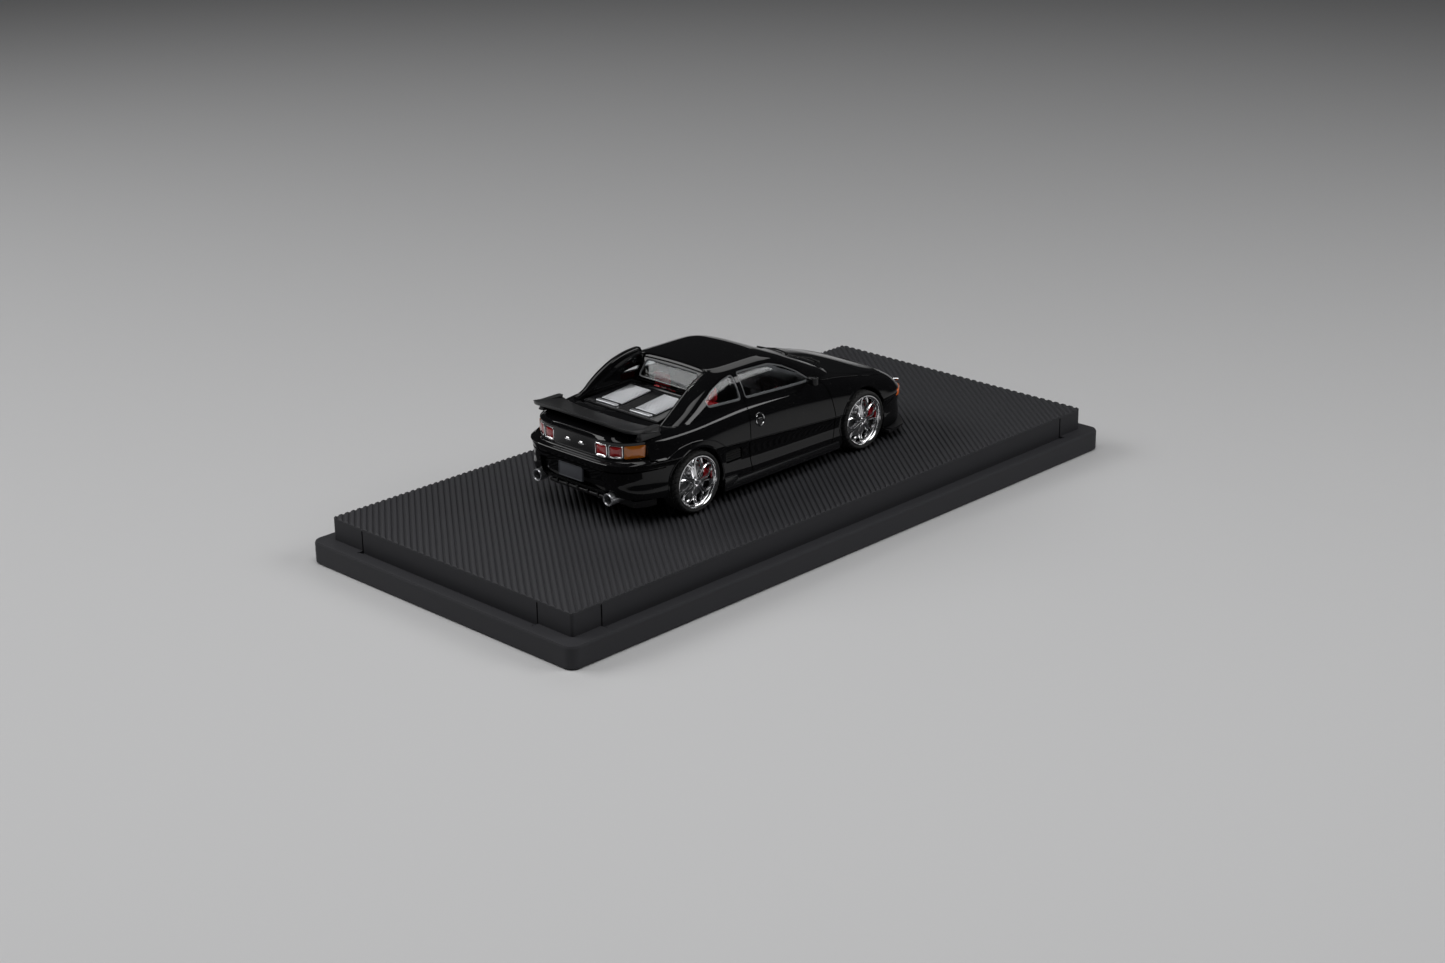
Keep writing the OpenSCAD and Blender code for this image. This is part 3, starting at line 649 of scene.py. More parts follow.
def pale_trim():
    return base_material("pale_grey_gasket", (0.13, 0.135, 0.14), 0.25, dust=settings().dust, grain=0.05)


def bright_chrome():
    return base_material("bright_chrome", (0.82, 0.82, 0.83), 0.14, metallic=1.0,
                         dust=settings().dust * 0.4,
                         grain=0.03, grain_scale=1500.0)


def silver_mesh():
    return base_material("silver_mesh", (0.55, 0.56, 0.58), 0.3, metallic=0.85, dust=settings().dust,
                         grain=0.3)


def brushed_steel():
    return base_material("brushed_steel", (0.42, 0.42, 0.43), 0.3, metallic=1.0, dust=settings().dust,
                         lines=0.3)


def screw_steel():
    return base_material("screw_steel", (0.6, 0.6, 0.61), 0.25, metallic=1.0, dust=settings().dust,
                         lines=0.2)


def caliper_red():
    return base_material("caliper_red_enamel", (0.5, 0.012, 0.02), 0.25, dust=settings().dust, grain=0.05)


def tyre_rubber():
    return base_material("tyre_rubber", (0.018, 0.018, 0.018), 0.62, dust=settings().dust * 1.6, grain=0.3,
                         grain_scale=3000.0)


def plate_grey():
    return base_material("plate_grey", (0.022, 0.023, 0.026), 0.42, dust=settings().dust * 1.5, grain=0.1)


def lens(name, color, painted_glow=0.0, see_through=0.35):
    """Coloured lamp plastic: clear enough to look deep, fluted inside, with a faint painted glow from
    emission, though the lamps are unlit.
    """
    found = bpy.data.materials.get(name)
    if found:
        return found
    material = base_material(name, color, 0.12, dust=settings().dust * 0.5, lines=0.12, line_scale=1500.0,
                             Coat_Weight=1.0, Coat_Roughness=0.03)
    shader = material.node_tree.nodes["Principled BSDF"]
    shader.inputs["Transmission Weight"].default_value = see_through
    # The emission is painted light: it makes the unlit lenses glow a little.
    shader.inputs["Emission Color"].default_value = (*color, 1)
    shader.inputs["Emission Strength"].default_value = painted_glow
    return material


def window_glass():
    """Clear moulded glazing with a faint grey tint."""
    found = bpy.data.materials.get("window_glass")
    if found:
        return found
    material = base_material("window_glass", (0.86, 0.89, 0.9), 0.03, dust=settings().dust * 0.2)
    shader = material.node_tree.nodes["Principled BSDF"]
    shader.inputs["Transmission Weight"].default_value = 1.0
    shader.inputs["IOR"].default_value = 1.3
    path = material.node_tree.nodes.new("ShaderNodeLightPath")
    seen = material.node_tree.nodes.new("ShaderNodeMath")
    seen.operation = "MULTIPLY_ADD"
    seen.inputs[1].default_value = -0.9
    seen.inputs[2].default_value = 1.0
    material.node_tree.links.new(path.outputs["Is Shadow Ray"], seen.inputs[0])
    material.node_tree.links.new(seen.outputs["Value"], shader.inputs["Alpha"])
    return material


# ---- the display base ----


def rounded_ring(length, width, radius, z, steps=8):
    outline = []
    for sx, sy, start in ((1, 1, 0), (-1, 1, 90), (-1, -1, 180), (1, -1, 270)):
        for t in np.linspace(start, start + 90, steps + 1):
            outline.append((
                sx * (length / 2 - radius) + radius * math.cos(math.radians(t)),
                sy * (width / 2 - radius) + radius * math.sin(math.radians(t)),
                z,
            ))
    return outline


def build_display_base():
    """Two-tier base: bevelled tiers, locating notches and the groove for the clear cover."""
    s = bpy.context.scene.collector_base
    low, high = (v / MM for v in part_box("display_base"))
    deck_low, deck_high = (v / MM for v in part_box("ribbed_deck"))
    length, width, top = high.x - low.x, high.y - low.y, deck_low.z - 0.02
    tier_l, tier_w = deck_high.x - deck_low.x, deck_high.y - deck_low.y
    ledge, edge = s.ledge_height / MM, s.edge_bevel / MM
    corner = s.corner_radius / MM
    foot = 0.5
    rings = [
        rounded_ring(length - 0.5, width - 0.5, corner, 0),
        rounded_ring(length, width, corner, 0.25),
        rounded_ring(length, width, corner, ledge - edge),
        rounded_ring(length - edge * 0.55, width - edge * 0.55, corner, ledge - edge * 0.25),
        rounded_ring(length - 2 * edge, width - 2 * edge, corner, ledge),
        rounded_ring(tier_l, tier_w, foot, ledge),
        rounded_ring(tier_l, tier_w, foot, top),
    ]
    base = skin("display_base_moulding", rings)
    long_gap = tier_l / 2 - s.notch_long / MM
    short_gap = tier_w / 2 - s.notch_short / MM
    groove, sink = 0.75, 0.35
    for sy in SIDES:
        y = sorted((sy * (tier_w / 2 - 0.02), sy * (tier_w / 2 + groove)))
        cut(base, box("groove", (-long_gap, long_gap), y, (ledge - sink, ledge + 1)))
        x = sorted((sy * (tier_l / 2 - 0.02), sy * (tier_l / 2 + groove)))
        cut(base, box("groove", x, (-short_gap, short_gap), (ledge - sink, ledge + 1)))
        for e in SIDES:
            y = sorted((sy * (tier_w / 2 - 0.3), sy * (tier_w / 2 + 1)))
            cut(base, box("notch", (e * long_gap - 0.14, e * long_gap + 0.14), y, (ledge - sink, top + 1)))
            x = sorted((sy * (tier_l / 2 - 0.3), sy * (tier_l / 2 + 1)))
            cut(base, box("notch", x, (e * short_gap - 0.14, e * short_gap + 0.14),
                          (ledge - sink, top + 1)))
    for x in (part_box("base_screws")[0].x / MM + 1.7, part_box("base_screws")[1].x / MM - 1.7):
        well = turned("well", [(0, -1), (2.1, -1), (2.1, 3.6), (1.1, 3.6), (1.1, 9), (0, 9)], (0, 0, 0), 32)
        cut(base, moved(well, Matrix.Translation((x, 0, 0)) @ Matrix.Rotation(math.pi / 2, 4, "X")))
    place(base, base_plastic(), ["display_base"], origin=BASE_ORIGIN, angle=20)


def build_ribbed_deck():
    """Slanted rounded ribs that run out to the plinth's bevelled edge."""
    s = bpy.context.scene.collector_base
    low, high = (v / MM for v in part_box("ribbed_deck"))
    length, width = high.x - low.x, high.y - low.y
    pitch, depth, foot = s.rib_pitch / MM, s.rib_depth / MM, 0.5
    reach = math.hypot(length, width) / 2
    count = math.ceil(reach / pitch)
    comb = [(-(count + 1) * pitch, low.z - 1)]
    rise = [(-0.5, 0), (-0.36, 0.05), (-0.22, 0.9), (-0.12, 1), (0.12, 1), (0.22, 0.9), (0.36, 0.05)]
    for k in range(-count, count + 1):
        comb += [((k + u) * pitch, high.z - depth + depth * v) for u, v in rise]
    comb.append(((count + 1) * pitch, low.z - 1))
    ribs = prism("ribs", comb, -reach, reach)
    moved(ribs, Matrix.Rotation(s.rib_angle - math.pi / 2, 4, "Z"))
    edge = 0.16
    rings = [
        rounded_ring(length, width, foot, low.z),
        rounded_ring(length, width, foot, high.z - edge),
        rounded_ring(length - 2 * edge, width - 2 * edge, foot, high.z + 0.005),
    ]
    deck = skin("ribbed_deck_top", rings)
    combine(deck, ribs, "INTERSECT")
    place(deck, rib_plastic(), ["ribbed_deck"], origin=BASE_ORIGIN, angle=35)
    finish_node("base_screws", screw_steel())


# ---- body ----


def body_loft(name, inset=0.0, drop=0.0, steps=75):
    c, s = outline_steps(steps, 5.4, 2.45)
    columns = []
    for j, row in enumerate(BODY_LEVELS):
        x, y = body_half(row, c, s, inset)
        z = LEVEL_HEIGHTS[j](x) - (drop if j < 6 else 0)
        columns.append(np.stack([x, y, z], axis=1))
    side = np.stack(columns[:-1], axis=1)
    edge = columns[-1]
    across = np.linspace(1, -1, 41)
    lift = crown_at(edge[:, 0])
    deck = np.stack([
        np.repeat(edge[:, :1], len(across), 1),
        edge[:, 1:2] * across,
        edge[:, 2:3] - inset + lift[:, None] * (1 - across ** 2),
    ], axis=2)
    back = side[:, ::-1] * (1, -1, 1)
    return skin(name, np.concatenate([side, deck, back], axis=1), closed_ends=False)


def cabin_ring(row, c, s, inset):
    n = np.where(c > 0, *CABIN_SQUARENESS)
    reach = np.where(c > 0, row[1] + CABIN_X, row[2] - CABIN_X) - inset
    x = CABIN_X - np.sign(c) * np.abs(c) ** (2 / n) * reach
    return np.stack([x, s ** (2 / n) * (row[3] - inset), np.full(len(c), row[0])], axis=1)


def cabin_loft(name, inset=0.0, drop=0.0, steps=65):
    c, s = outline_steps(steps, 5.5, 1.6)
    rings = [cabin_ring(row, c, s, inset) for row in CABIN_LEVELS]
    rings[0][:, 2] -= drop
    side = np.stack(rings[:-1], axis=1)
    edge = rings[-1]
    across = np.linspace(1, -1, 41)
    deck = np.stack([
        np.repeat(edge[:, :1], len(across), 1),
        edge[:, 1:2] * across,
        edge[:, 2:3] - inset + ROOF_CROWN * s[:, None] * (1 - across ** 2),
    ], axis=2)
    back = side[:, ::-1] * (1, -1, 1)
    return skin(name, np.concatenate([side, deck, back], axis=1), closed_ends=False)


def whole_body(name, inset=0.0):
    return combine(body_loft(name, inset), cabin_loft("cabin", inset), "UNION")


def blade(path, width, low, high, along):
    """A thin wall along a path, for cutting a panel line."""
    pts = np.array(path, float)
    heading = np.gradient(pts, axis=0)
    heading /= np.linalg.norm(heading, axis=1)[:, None]
    across = np.stack([-heading[:, 1], heading[:, 0]], axis=1) * width / 2
    outline = [tuple(p) for p in pts + across] + [tuple(p) for p in (pts - across)[::-1]]
    return prism("blade", outline, low, high, along)


def bend(points, steps=6):
    """A smooth path through a few points."""
    pts = [np.array(p, float) for p in points]
    pts = [2 * pts[0] - pts[1], *pts, 2 * pts[-1] - pts[-2]]
    made = []
    for a, b, c, d in zip(pts, pts[1:], pts[2:], pts[3:]):
        for t in np.linspace(0, 1, steps, endpoint=False):
            made.append(0.5 * ((2 * b) + (c - a) * t + (2 * a - 5 * b + 4 * c - d) * t * t
                               + (3 * b - a - 3 * c + d) * t ** 3))
    made.append(pts[-2])
    return [tuple(p) for p in made]


COVER_X, COVER_Z, COVER_TILT = -17.4, 13.95, math.radians(5.7)
WELL_FRONT, WELL_REAR, WELL_TOP = -13.05, -22.6, -9.75
WINDOW_WALL_SLOPE = 0.591
TAIL_ROW = BODY[7]


def well_floor(x):
    return COVER_Z - 0.05 + (x - COVER_X) * math.tan(COVER_TILT)


def fin_inner(x):
    """Half width between the two rear fins."""
    return float(np.interp(x, [WELL_REAR, WELL_FRONT], [8.9, 7.0]))


def roof_height(x, y):
    """Height of the cabin's skin above a point, down to the deck."""
    for z in np.linspace(CABIN[-1][0], 13.6, 180):
        if abs(y) <= cabin_side(x, z) and -x <= np.interp(z, CABIN_LEVELS[:, 0], CABIN_LEVELS[:, 1]):
            return float(z)
    return 13.6


def plan_outline(row, inset, count=60):
    """Closed plan outline of one body row."""
    c, s = outline_steps(count, row[3], 2.45)
    x, y = body_half(row, c, s, inset)
    return list(zip(x, y)) + list(zip(x[-2:0:-1], -y[-2:0:-1]))


def fin_well():
    points = []
    for y in SIDES:
        points += [
            (WELL_TOP, y * 7.0, 20),
            (WELL_FRONT, y * 7.0, well_floor(WELL_FRONT)),
            (WELL_REAR, y * 8.9, well_floor(WELL_REAR)),
            (WELL_REAR, y * 8.9, 20),
        ]
    return hull("well", points)


def windscreen_space(grow=0.0):
    points = []
    for x, w, z in ((13.6, 8.8, 13.7), (4.2, 6.8, 18.5), (16.6, 9.3, 15.7), (7.2, 7.3, 20.5)):
        points += [(x, side * (w + grow), z - grow * 0.7 if z < 15 else z) for side in SIDES]
    return hull("screen", points)


def rear_window_outline():
    return rounded([(-6.15, 15.6), (6.15, 15.6), (5.65, 18.3), (-5.65, 18.3)], 0.8)


def panel_lines():
    """Every shut line as a path, its width, its reach and the axis it is cut along."""
    door_front = bend([(8.9, 14.3), (10.1, 13.1), (11.0, 11.2), (11.5, 9.2), (11.9, 7.0), (11.8, 4.8),
                       (11.0, 3.0)])
    door_rear = bend([(-6.95, 14.8), (-7.2, 12), (-7.4, 8.5), (-7.1, 5), (-6.7, 3.0)])
    sill = [(-6.75, 3.05), (0, 2.95), (11.05, 3.0)]
    lines = [(path, 0.17, -15, 15, "y") for path in (door_front, door_rear, sill)]
    rear_bumper = bend([(-24.2, 9.85), (-26, 9.95), (-27.3, 10.2)])
    front_bumper = bend([(24.6, 5.4), (27, 6.3), (29.6, 7.1), (31.5, 7.4)])
    lines += [(path, 0.14, -15, 15, "y") for path in (rear_bumper, front_bumper)]
    bonnet = bend([(14.9, 9.5), (19, 9.9), (24, 9.6), (27.3, 8.7), (28.2, 6.5), (28.5, 3), (28.5, 0)])
    lid = rounded_box_outline((22.3, 27.2), (5.3, 9.1), 0.7)
    for side in SIDES:
        lines.append(([(x, side * y) for x, y in bonnet], 0.16, 8, 21, "z"))
        lines.append(([(x, side * y) for x, y in [*lid, lid[0]]], 0.14, 8, 21, "z"))
    lines.append(([(14.9, 9.5), (15.25, 5), (15.4, 0), (15.25, -5), (14.9, -9.5)], 0.16, 8, 21, "z"))
    return lines


def cut_outer_skin(shell):
    """Shut lines, the bumper's step and the recesses round the plate, all of one even depth."""
    core = whole_body("core", 0.28)
    for path, width, low, high, along in panel_lines():
        line = combine(blade(path, width, low, high, along), core, "DIFFERENCE", keep=True)
        cut(shell, line)
    step = combine(box("step", (-40, -24.6), (-20, 20), (8.62, 8.86)), core, "DIFFERENCE", keep=True)
    cut(shell, step)
    bpy.data.objects.remove(core)
    deep = whole_body("deep_core", 0.55)
    lower = prism("lower", rounded_box_outline((-6.9, 6.9), (5.3, 8.1), 0.5), -40, -28, "x")
    intake = prism("intake", rounded_box_outline((-7.2, 7.2), (2.1, 3.9), 0.6), 28, 40, "x")
    for recess in (lower, intake):
        cut(shell, combine(recess, deep, "DIFFERENCE", keep=True))
    bpy.data.objects.remove(deep)


def exhaust_frame(x, side):
    """From a pipe's own frame, along y, to its place along the car's length."""
    return Matrix.Translation((x, side * EXHAUST_Y, EXHAUST_Z)) @ Matrix.Rotation(math.pi / 2, 4, "Z")


def marker_frame(side):
    """From a front marker's own frame to its slanted place on the corner."""
    turn = Matrix.Rotation(MARKER_ANGLE, 4, "Z") @ Matrix.Translation(MARKER_PLACE)
    if side < 0:
        turn = Matrix.Diagonal((1, -1, 1, 1)) @ turn
    return turn


def cut_openings(shell):
    cavity = combine(body_loft("cavity", WALL, 4), cabin_cavity(), "UNION")
    cut(shell, cavity, fin_well(), windscreen_space())
    for outline in (DOOR_GLASS, QUARTER_GLASS):
        cut(shell, prism("window", rounded(outline, 0.7), -14.5, 14.5))
    cut(shell, prism("rear_window", rear_window_outline(), -15, -9, "x"))
    for x in (AXLE_X, -AXLE_X):
        wheel = turned("arch", [(0, -20), (ARCH_R, -20), (ARCH_R, 20), (0, 20)], (x, 0, AXLE_Z), 96)
        cut(shell, wheel, box("foot", (x - ARCH_R + 0.4, x + ARCH_R - 0.4), (-20, 20), (-1, AXLE_Z * 0.75)))
    slab = box("tail_seat", (-40, -27.2), (-20, 20), (10.3, 13.05))
    cut(shell, combine(slab, prism("tail_core", plan_outline(TAIL_ROW, 1.35), 9, 14, "z"), "DIFFERENCE"))
    for side in SIDES:
        pipe = turned("pipe", [(0, -5), (1.25, -5), (1.25, 5), (0, 5)], (0, 0, 0), 32)
        cut(shell, moved(pipe, exhaust_frame(-31.5, side)))
        y = sorted((side * 12.2, side * 15))
        cut(shell, prism("grille", rounded_box_outline((-12.6, -9.0), (6.0, 7.9), 0.5), *y))
        marker = prism("marker", rounded_box_outline((-2, 2), (6.1, 7.3), 0.3), -2.4, 3)
        turn = marker_frame(side)
        cut(shell, moved(marker, turn))
        lamp = rounded_box_outline(sorted((side * 5.6, side * 9.2)), (4.2, 5.6), 0.4)
        cut(shell, prism("lamp", lamp, 30.6, 36, "x"))


def cabin_cavity():
    """The cabin's hollow, which stops ahead of the rear fins."""
    hollow = cabin_loft("hollow", WALL * 0.7, 2)
    points = []
    for y in (-7.8, 7.8):
        front = well_floor(WELL_FRONT + 0.5) - 0.6
        points += [(WELL_TOP + 0.5, y, 20), (WELL_FRONT + 0.5, y, front),
                   (-22.6, y, well_floor(-22.6) - 0.6),
                   (-30, y, 12), (-30, y, 20)]
    cut(hollow, hull("fins", points), box("rear", (-30, -15.6), (-14, 14), (14, 20)))
    return hollow


def body_beads():
    """Rolled edges that catch the light: arch lips, roof edge, fins, crease and window surrounds."""
    beads = []
    for x0 in (AXLE_X, -AXLE_X):
        path = []
        for a in np.linspace(math.radians(-12), math.radians(192), 50):
            x, z = x0 + ARCH_R * math.cos(a), AXLE_Z + ARCH_R * math.sin(a)
            path.append((x, body_side(x, z) - 0.08, z))
        beads.append((path, 0.2))
    crease = [(x, body_side(x, z) - 0.03, z) for x, z in
              zip(np.linspace(-13.0, 13.1, 40), np.linspace(9.0, 7.1, 40))]
    beads.append((crease, 0.1))
    over_arch = bend([(-24.6, 9.95), (-22, 11.0), (-18.75, 11.3), (-15.5, 10.6), (-13.0, 9.05)])
    beads.append(([(x, body_side(x, z) - 0.05, z) for x, z in over_arch], 0.1))
    crest = bend([(10.5, 13.35), (14, 12.9), (18.5, 12.0), (23, 10.9), (27, 9.9)])
    beads.append(([(x, body_side(x, z) - 0.05, z) for x, z in crest], 0.12))
    made = []
    for i, (path, radius) in enumerate(beads):
        bead = tube(f"bead_{i}", path, radius, 10)
        made += [bead, mirrored(bead, f"bead_{i}_right")]
    return made + roof_edge_beads()


def window_wall(y, z, out=0.0):
    """A point on the upright wall between the fins, above the engine cover."""
    return (WELL_TOP - WINDOW_WALL_SLOPE * (20 - z) - out, y, z)


def roof_edge_beads():
    fin = []
    for x in np.linspace(-22.4, -11.6, 30):
        y = fin_inner(x)
        fin.append((x, y + 0.05, roof_height(x, y + 0.25) + 0.02))
    corner = [(-10.9, 6.75, 18.72), (-10.5, 6.2, 18.86)]
    middle = [(-10.38, y, 18.84 + 0.32 * (1 - (y / 7.3) ** 2)) for y in np.linspace(5.4, 0, 8)]
    left = [*fin, *corner, *middle]
    path = left + [(x, -y, z) for x, y, z in left[-2::-1]]
    lower = [window_wall(y, 18.42 + 0.2 * (1 - (y / 7) ** 2), 0.02) for y in np.linspace(6.5, -6.5, 24)]
    sill = [window_wall(y, 15.38, 0.02) for y in np.linspace(6.6, -6.6, 12)]
    return [tube("fin_bead", path, 0.17, 10), tube("roof_step", lower, 0.12, 8),
            tube("window_sill", sill, 0.1, 8)]


def fin_rim():
    """Rounded rim that stands along the top of the left fin and ends in a nub by the roof."""
    line = [(-8.9, 8.9, 18.35, 0.3), (-9.15, 8.92, 18.6, 0.42), (-9.8, 8.95, 18.72, 0.5),
            (-11.5, 9.0, 18.6, 0.52),
            (-14.3, 9.1, 18.0, 0.52), (-17.1, 9.2, 16.8, 0.5), (-19.3, 9.3, 15.45, 0.45),
            (-20.7, 9.3, 14.5, 0.38),
            (-22.5, 9.3, 13.95, 0.25)]
    curves = [smooth_curve([-p[0] for p in line], [p[j] for p in line]) for j in (1, 2, 3)]
    rings = []
    for x in np.linspace(-22.5, -8.9, 60):
        y, z, r = (float(curve(-x)) for curve in curves)
        arc = [(x, y + r * math.cos(a), z + r * math.sin(a)) for a in np.linspace(0, math.pi, 13)]
        rings.append([*arc, (x, y - r, z - 2.4), (x, y + r, z - 2.4)])
    return skin("fin_rim", rings)


def build_body():
    shell = whole_body("body_casting")
    cut_outer_skin(shell)
    cut_openings(shell)
    posts = []
    for x in (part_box("chassis_screws")[0].x / MM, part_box("chassis_screws")[1].x / MM):
        x = x - CAR_ORIGIN.x / MM + (1.4 if x < 0 else -1.4)
        top = float(LEVEL_HEIGHTS[-1](x)) - WALL / 2
        posts.append(turned("post", [(0.8, 0), (1.7, 0), (1.7, top - 3.4), (0.8, top - 3.4)], (0, 0, 0),
                            32))
        moved(posts[-1], Matrix.Translation((x, 0, 3.4)) @ Matrix.Rotation(math.pi / 2, 4, "X"))
    shell = joined("body_casting", [shell, fin_rim(), *body_beads(), *posts])
    place(shell, body_paint(), ["body_shell"], angle=26)


# ---- glazing ----


def cabin_band(name, outer, inner):
    return combine(cabin_loft(name, outer), cabin_loft("inside", inner, 1), "DIFFERENCE")


def build_glazing():
    """Curved panes that follow the cabin, each inside a pale moulded surround."""
    glass = cabin_band("glass", 0.22, 0.5)
    surround = cabin_band("surround", 0.1, 0.42)
    windows = {"door_glass": rounded(DOOR_GLASS, 0.7), "quarter_glass": rounded(QUARTER_GLASS, 0.7)}
    for name, outline in windows.items():
        pane = combine(copy_of(glass, f"{name}_left_pane"), prism("cut", grown(outline, -0.02), 4, 15),
                       "INTERSECT")
        ring = combine(prism("ring", grown(outline, -0.01), 4, 15),
                       prism("hole", grown(outline, -0.24), 3, 16), "DIFFERENCE")
        ring = combine(ring, surround, "INTERSECT", keep=True)
        ring.name = f"{name}_left_surround"
        for side, pieces in (("left", (pane, ring)), ("right", (mirrored(pane, f"{name}_right_pane"),
                                                              mirrored(ring, f"{name}_right_surround")))):
            place(pieces[0], window_glass(), [f"{name}_{side}"])
            place(pieces[1], pale_trim())
    screen = combine(copy_of(glass, "windscreen_pane"), windscreen_space(-0.03), "INTERSECT")
    place(screen, window_glass(), ["windscreen"])
    for helper in (glass, surround):
        bpy.data.objects.remove(helper)
    outline = rear_window_outline()
    pane = pad("rear_window_pane", lambda y, z, out: window_wall(y, z, out - 0.35), grown(outline, -0.03),
               0.04, 0.3)
    place(pane, window_glass(), ["rear_window"])
    rim = tube("rear_window_surround", [window_wall(y, z, -0.12) for y, z in grown(outline, -0.14)], 0.13,
               8, closed=True)
    place(rim, pale_trim())


# ---- cabin ----


def cushion(name, centre, size, lean=0.0, crown=0.35, squareness=5, waist=0.0):
    """A padded block with crowned faces: size is length, width and thickness."""
    count = 40
    rings = []
    for v in np.linspace(-1, 1, 17):
        swell = (1 - abs(v) ** 6) ** (1 / 3)
        ring = []
        for a in full_turn(count):
            c, s = math.cos(a), math.sin(a)
            u = np.sign(c) * abs(c) ** (2 / squareness)
            w = np.sign(s) * abs(s) ** (2 / 3)
            wide = size[1] / 2 * (1 - waist * v)
            ring.append((w * size[2] / 2 * (0.55 + 0.45 * swell) * (1 + crown * (1 - u * u) * swell * 0.3),
                         u * wide * (0.86 + 0.14 * swell), v * size[0] / 2))
        rings.append(ring)
    obj = skin(name, rings)
    return moved(obj, Matrix.Translation(centre) @ Matrix.Rotation(lean, 4, "Y"))


def seat(side):
    """Bucket seat: base, back with side bolsters, and headrest on two stalks."""
    name = "left" if side > 0 else "right"
    low, high = (v / MM - CAR_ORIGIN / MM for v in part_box(f"seat_{name}"))
    y = (low.y + high.y) / 2
    base = cushion("base", (-3.6, y, 5.25), (7.2, 6.2, 1.45), lean=math.radians(90))
    back = cushion("back", (-7.5, y, 9.2), (7.4, 5.7, 1.35), lean=math.radians(-6), waist=0.12)
    parts = [base, back]
    for s in SIDES:
        parts.append(cushion("bolster", (-7.1, y + s * 2.35, 9.0), (6.2, 1.2, 1.7), lean=math.radians(-6)))
        parts.append(cushion("bolster", (-3.6, y + s * 2.5, 5.75), (6.4, 1.2, 1.3), lean=math.radians(90)))
        parts.append(tube("stalk", [(-7.9, y + s * 0.8, 12.4), (-8.0, y + s * 0.8, 13.6)], 0.14, 8))
    parts.append(cushion("headrest", (-8.1, y, 14.35), (2.1, 3.0, 1.05), lean=math.radians(-6)))
    place(joined(f"seat_{name}_trimmed", parts), seat_plastic(), [f"seat_{name}"], angle=45)


def build_cabin():
    for side in SIDES:
        seat(side)
    tub = joined("cabin_tub", [
        cut(box("tub", (-11.4, 12.4), (-10.4, 10.4), (3.5, 9.6), 0.3),
            box("hollow", (-10.4, 11.6), (-9.6, 9.6), (4.4, 12))),
        box("bulkhead", (-12.2, -11.35), (-9.2, 9.2), (8.5, 13.5), 0.2),
        box("tunnel", (-10.2, 8.5), (-1.3, 1.3), (4.4, 6.4), 0.4, 3),
    ])
    place(tub, cabin_plastic(), ["interior_tub"])
    hood = prism("dash", rounded([(7.3, 9.7), (12.3, 9.7), (12.6, 12.5), (9.6, 12.95), (7.6, 12.4)], 0.5),
                 -9.3, 9.3)
    soften(hood, 0.12)
    binnacle = prism("binnacle", rounded([(7.0, 11.2), (9.6, 11.6), (9.4, 13.35), (7.3, 12.9)], 0.35),
                     -7.1, -2.7)
    lever = tube("lever", [(2.9, 0, 6.3), (2.7, 0, 8.0), (2.45, 0, 8.9)], [0.2, 0.18, 0.2], 10)
    knob = pad("knob", lambda u, v, out: (2.4 + u, v, 9.0 + out), circle_outline(0.42, 20), 0.42, 0.42,
               power=2)
    parts = [hood, soften(binnacle, 0.15), box("console", (-3.9, 11.4), (-1, 1), (4.6, 7.2), 0.3, 3),
             box("stack", (7.3, 11.4), (-1, 1), (7.0, 9.8), 0.15), lever, knob]
    for y in (-8.3, -4.9, 0, 8.3):
        parts.append(pad("vent", lambda u, v, out, y=y: (7.35 - out, y + u, 11.0 + v),
                         circle_outline(0.5, 20), 0.1, 0.2))
    place(joined("dashboard_moulding", parts), cabin_plastic(), ["dashboard"])
    tilt = Matrix.Translation((5.9, -4.9, 11.4)) @ Matrix.Rotation(math.radians(66), 4, "Y")
    rim = [(2.3 * math.cos(a), 2.3 * math.sin(a), 0) for a in full_turn(48)]
    wheel = [tube("rim", rim, 0.26, 12, closed=True),
             pad("boss", lambda u, v, out: (u, v, -out),
                 rounded_box_outline((-0.7, 0.7), (-0.6, 0.6), 0.35), 0.3, 0.3)]
    for a in (0, 120, 240):
        c, s = math.cos(math.radians(a)), math.sin(math.radians(a))
        wheel.append(tube("spoke", [(0.4 * c, 0.4 * s, 0.05), (1.3 * c, 1.3 * s, 0.05),
                                    (2.2 * c, 2.2 * s, 0)],
                          [0.28, 0.2, 0.22], 10, flat=0.6))
    wheel.append(tube("column", [(0, 0, 0.2), (0, 0, 1.4)], 0.3, 12))
    place(moved(joined("steering_wheel_moulding", wheel), tilt), cabin_plastic(),
          ["steering_wheel"])


def circle_outline(radius, steps=32, centre=(0, 0), squash=1.0):
    return [(centre[0] + radius * math.cos(a), centre[1] + squash * radius * math.sin(a))
            for a in full_turn(steps)]


# ---- engine cover and wing ----


def on_cover(obj):
    """From the cover's own plane to its place between the fins."""
    return moved(obj, Matrix.Translation((COVER_X, 0, COVER_Z)) @ Matrix.Rotation(-COVER_TILT, 4, "Y"))


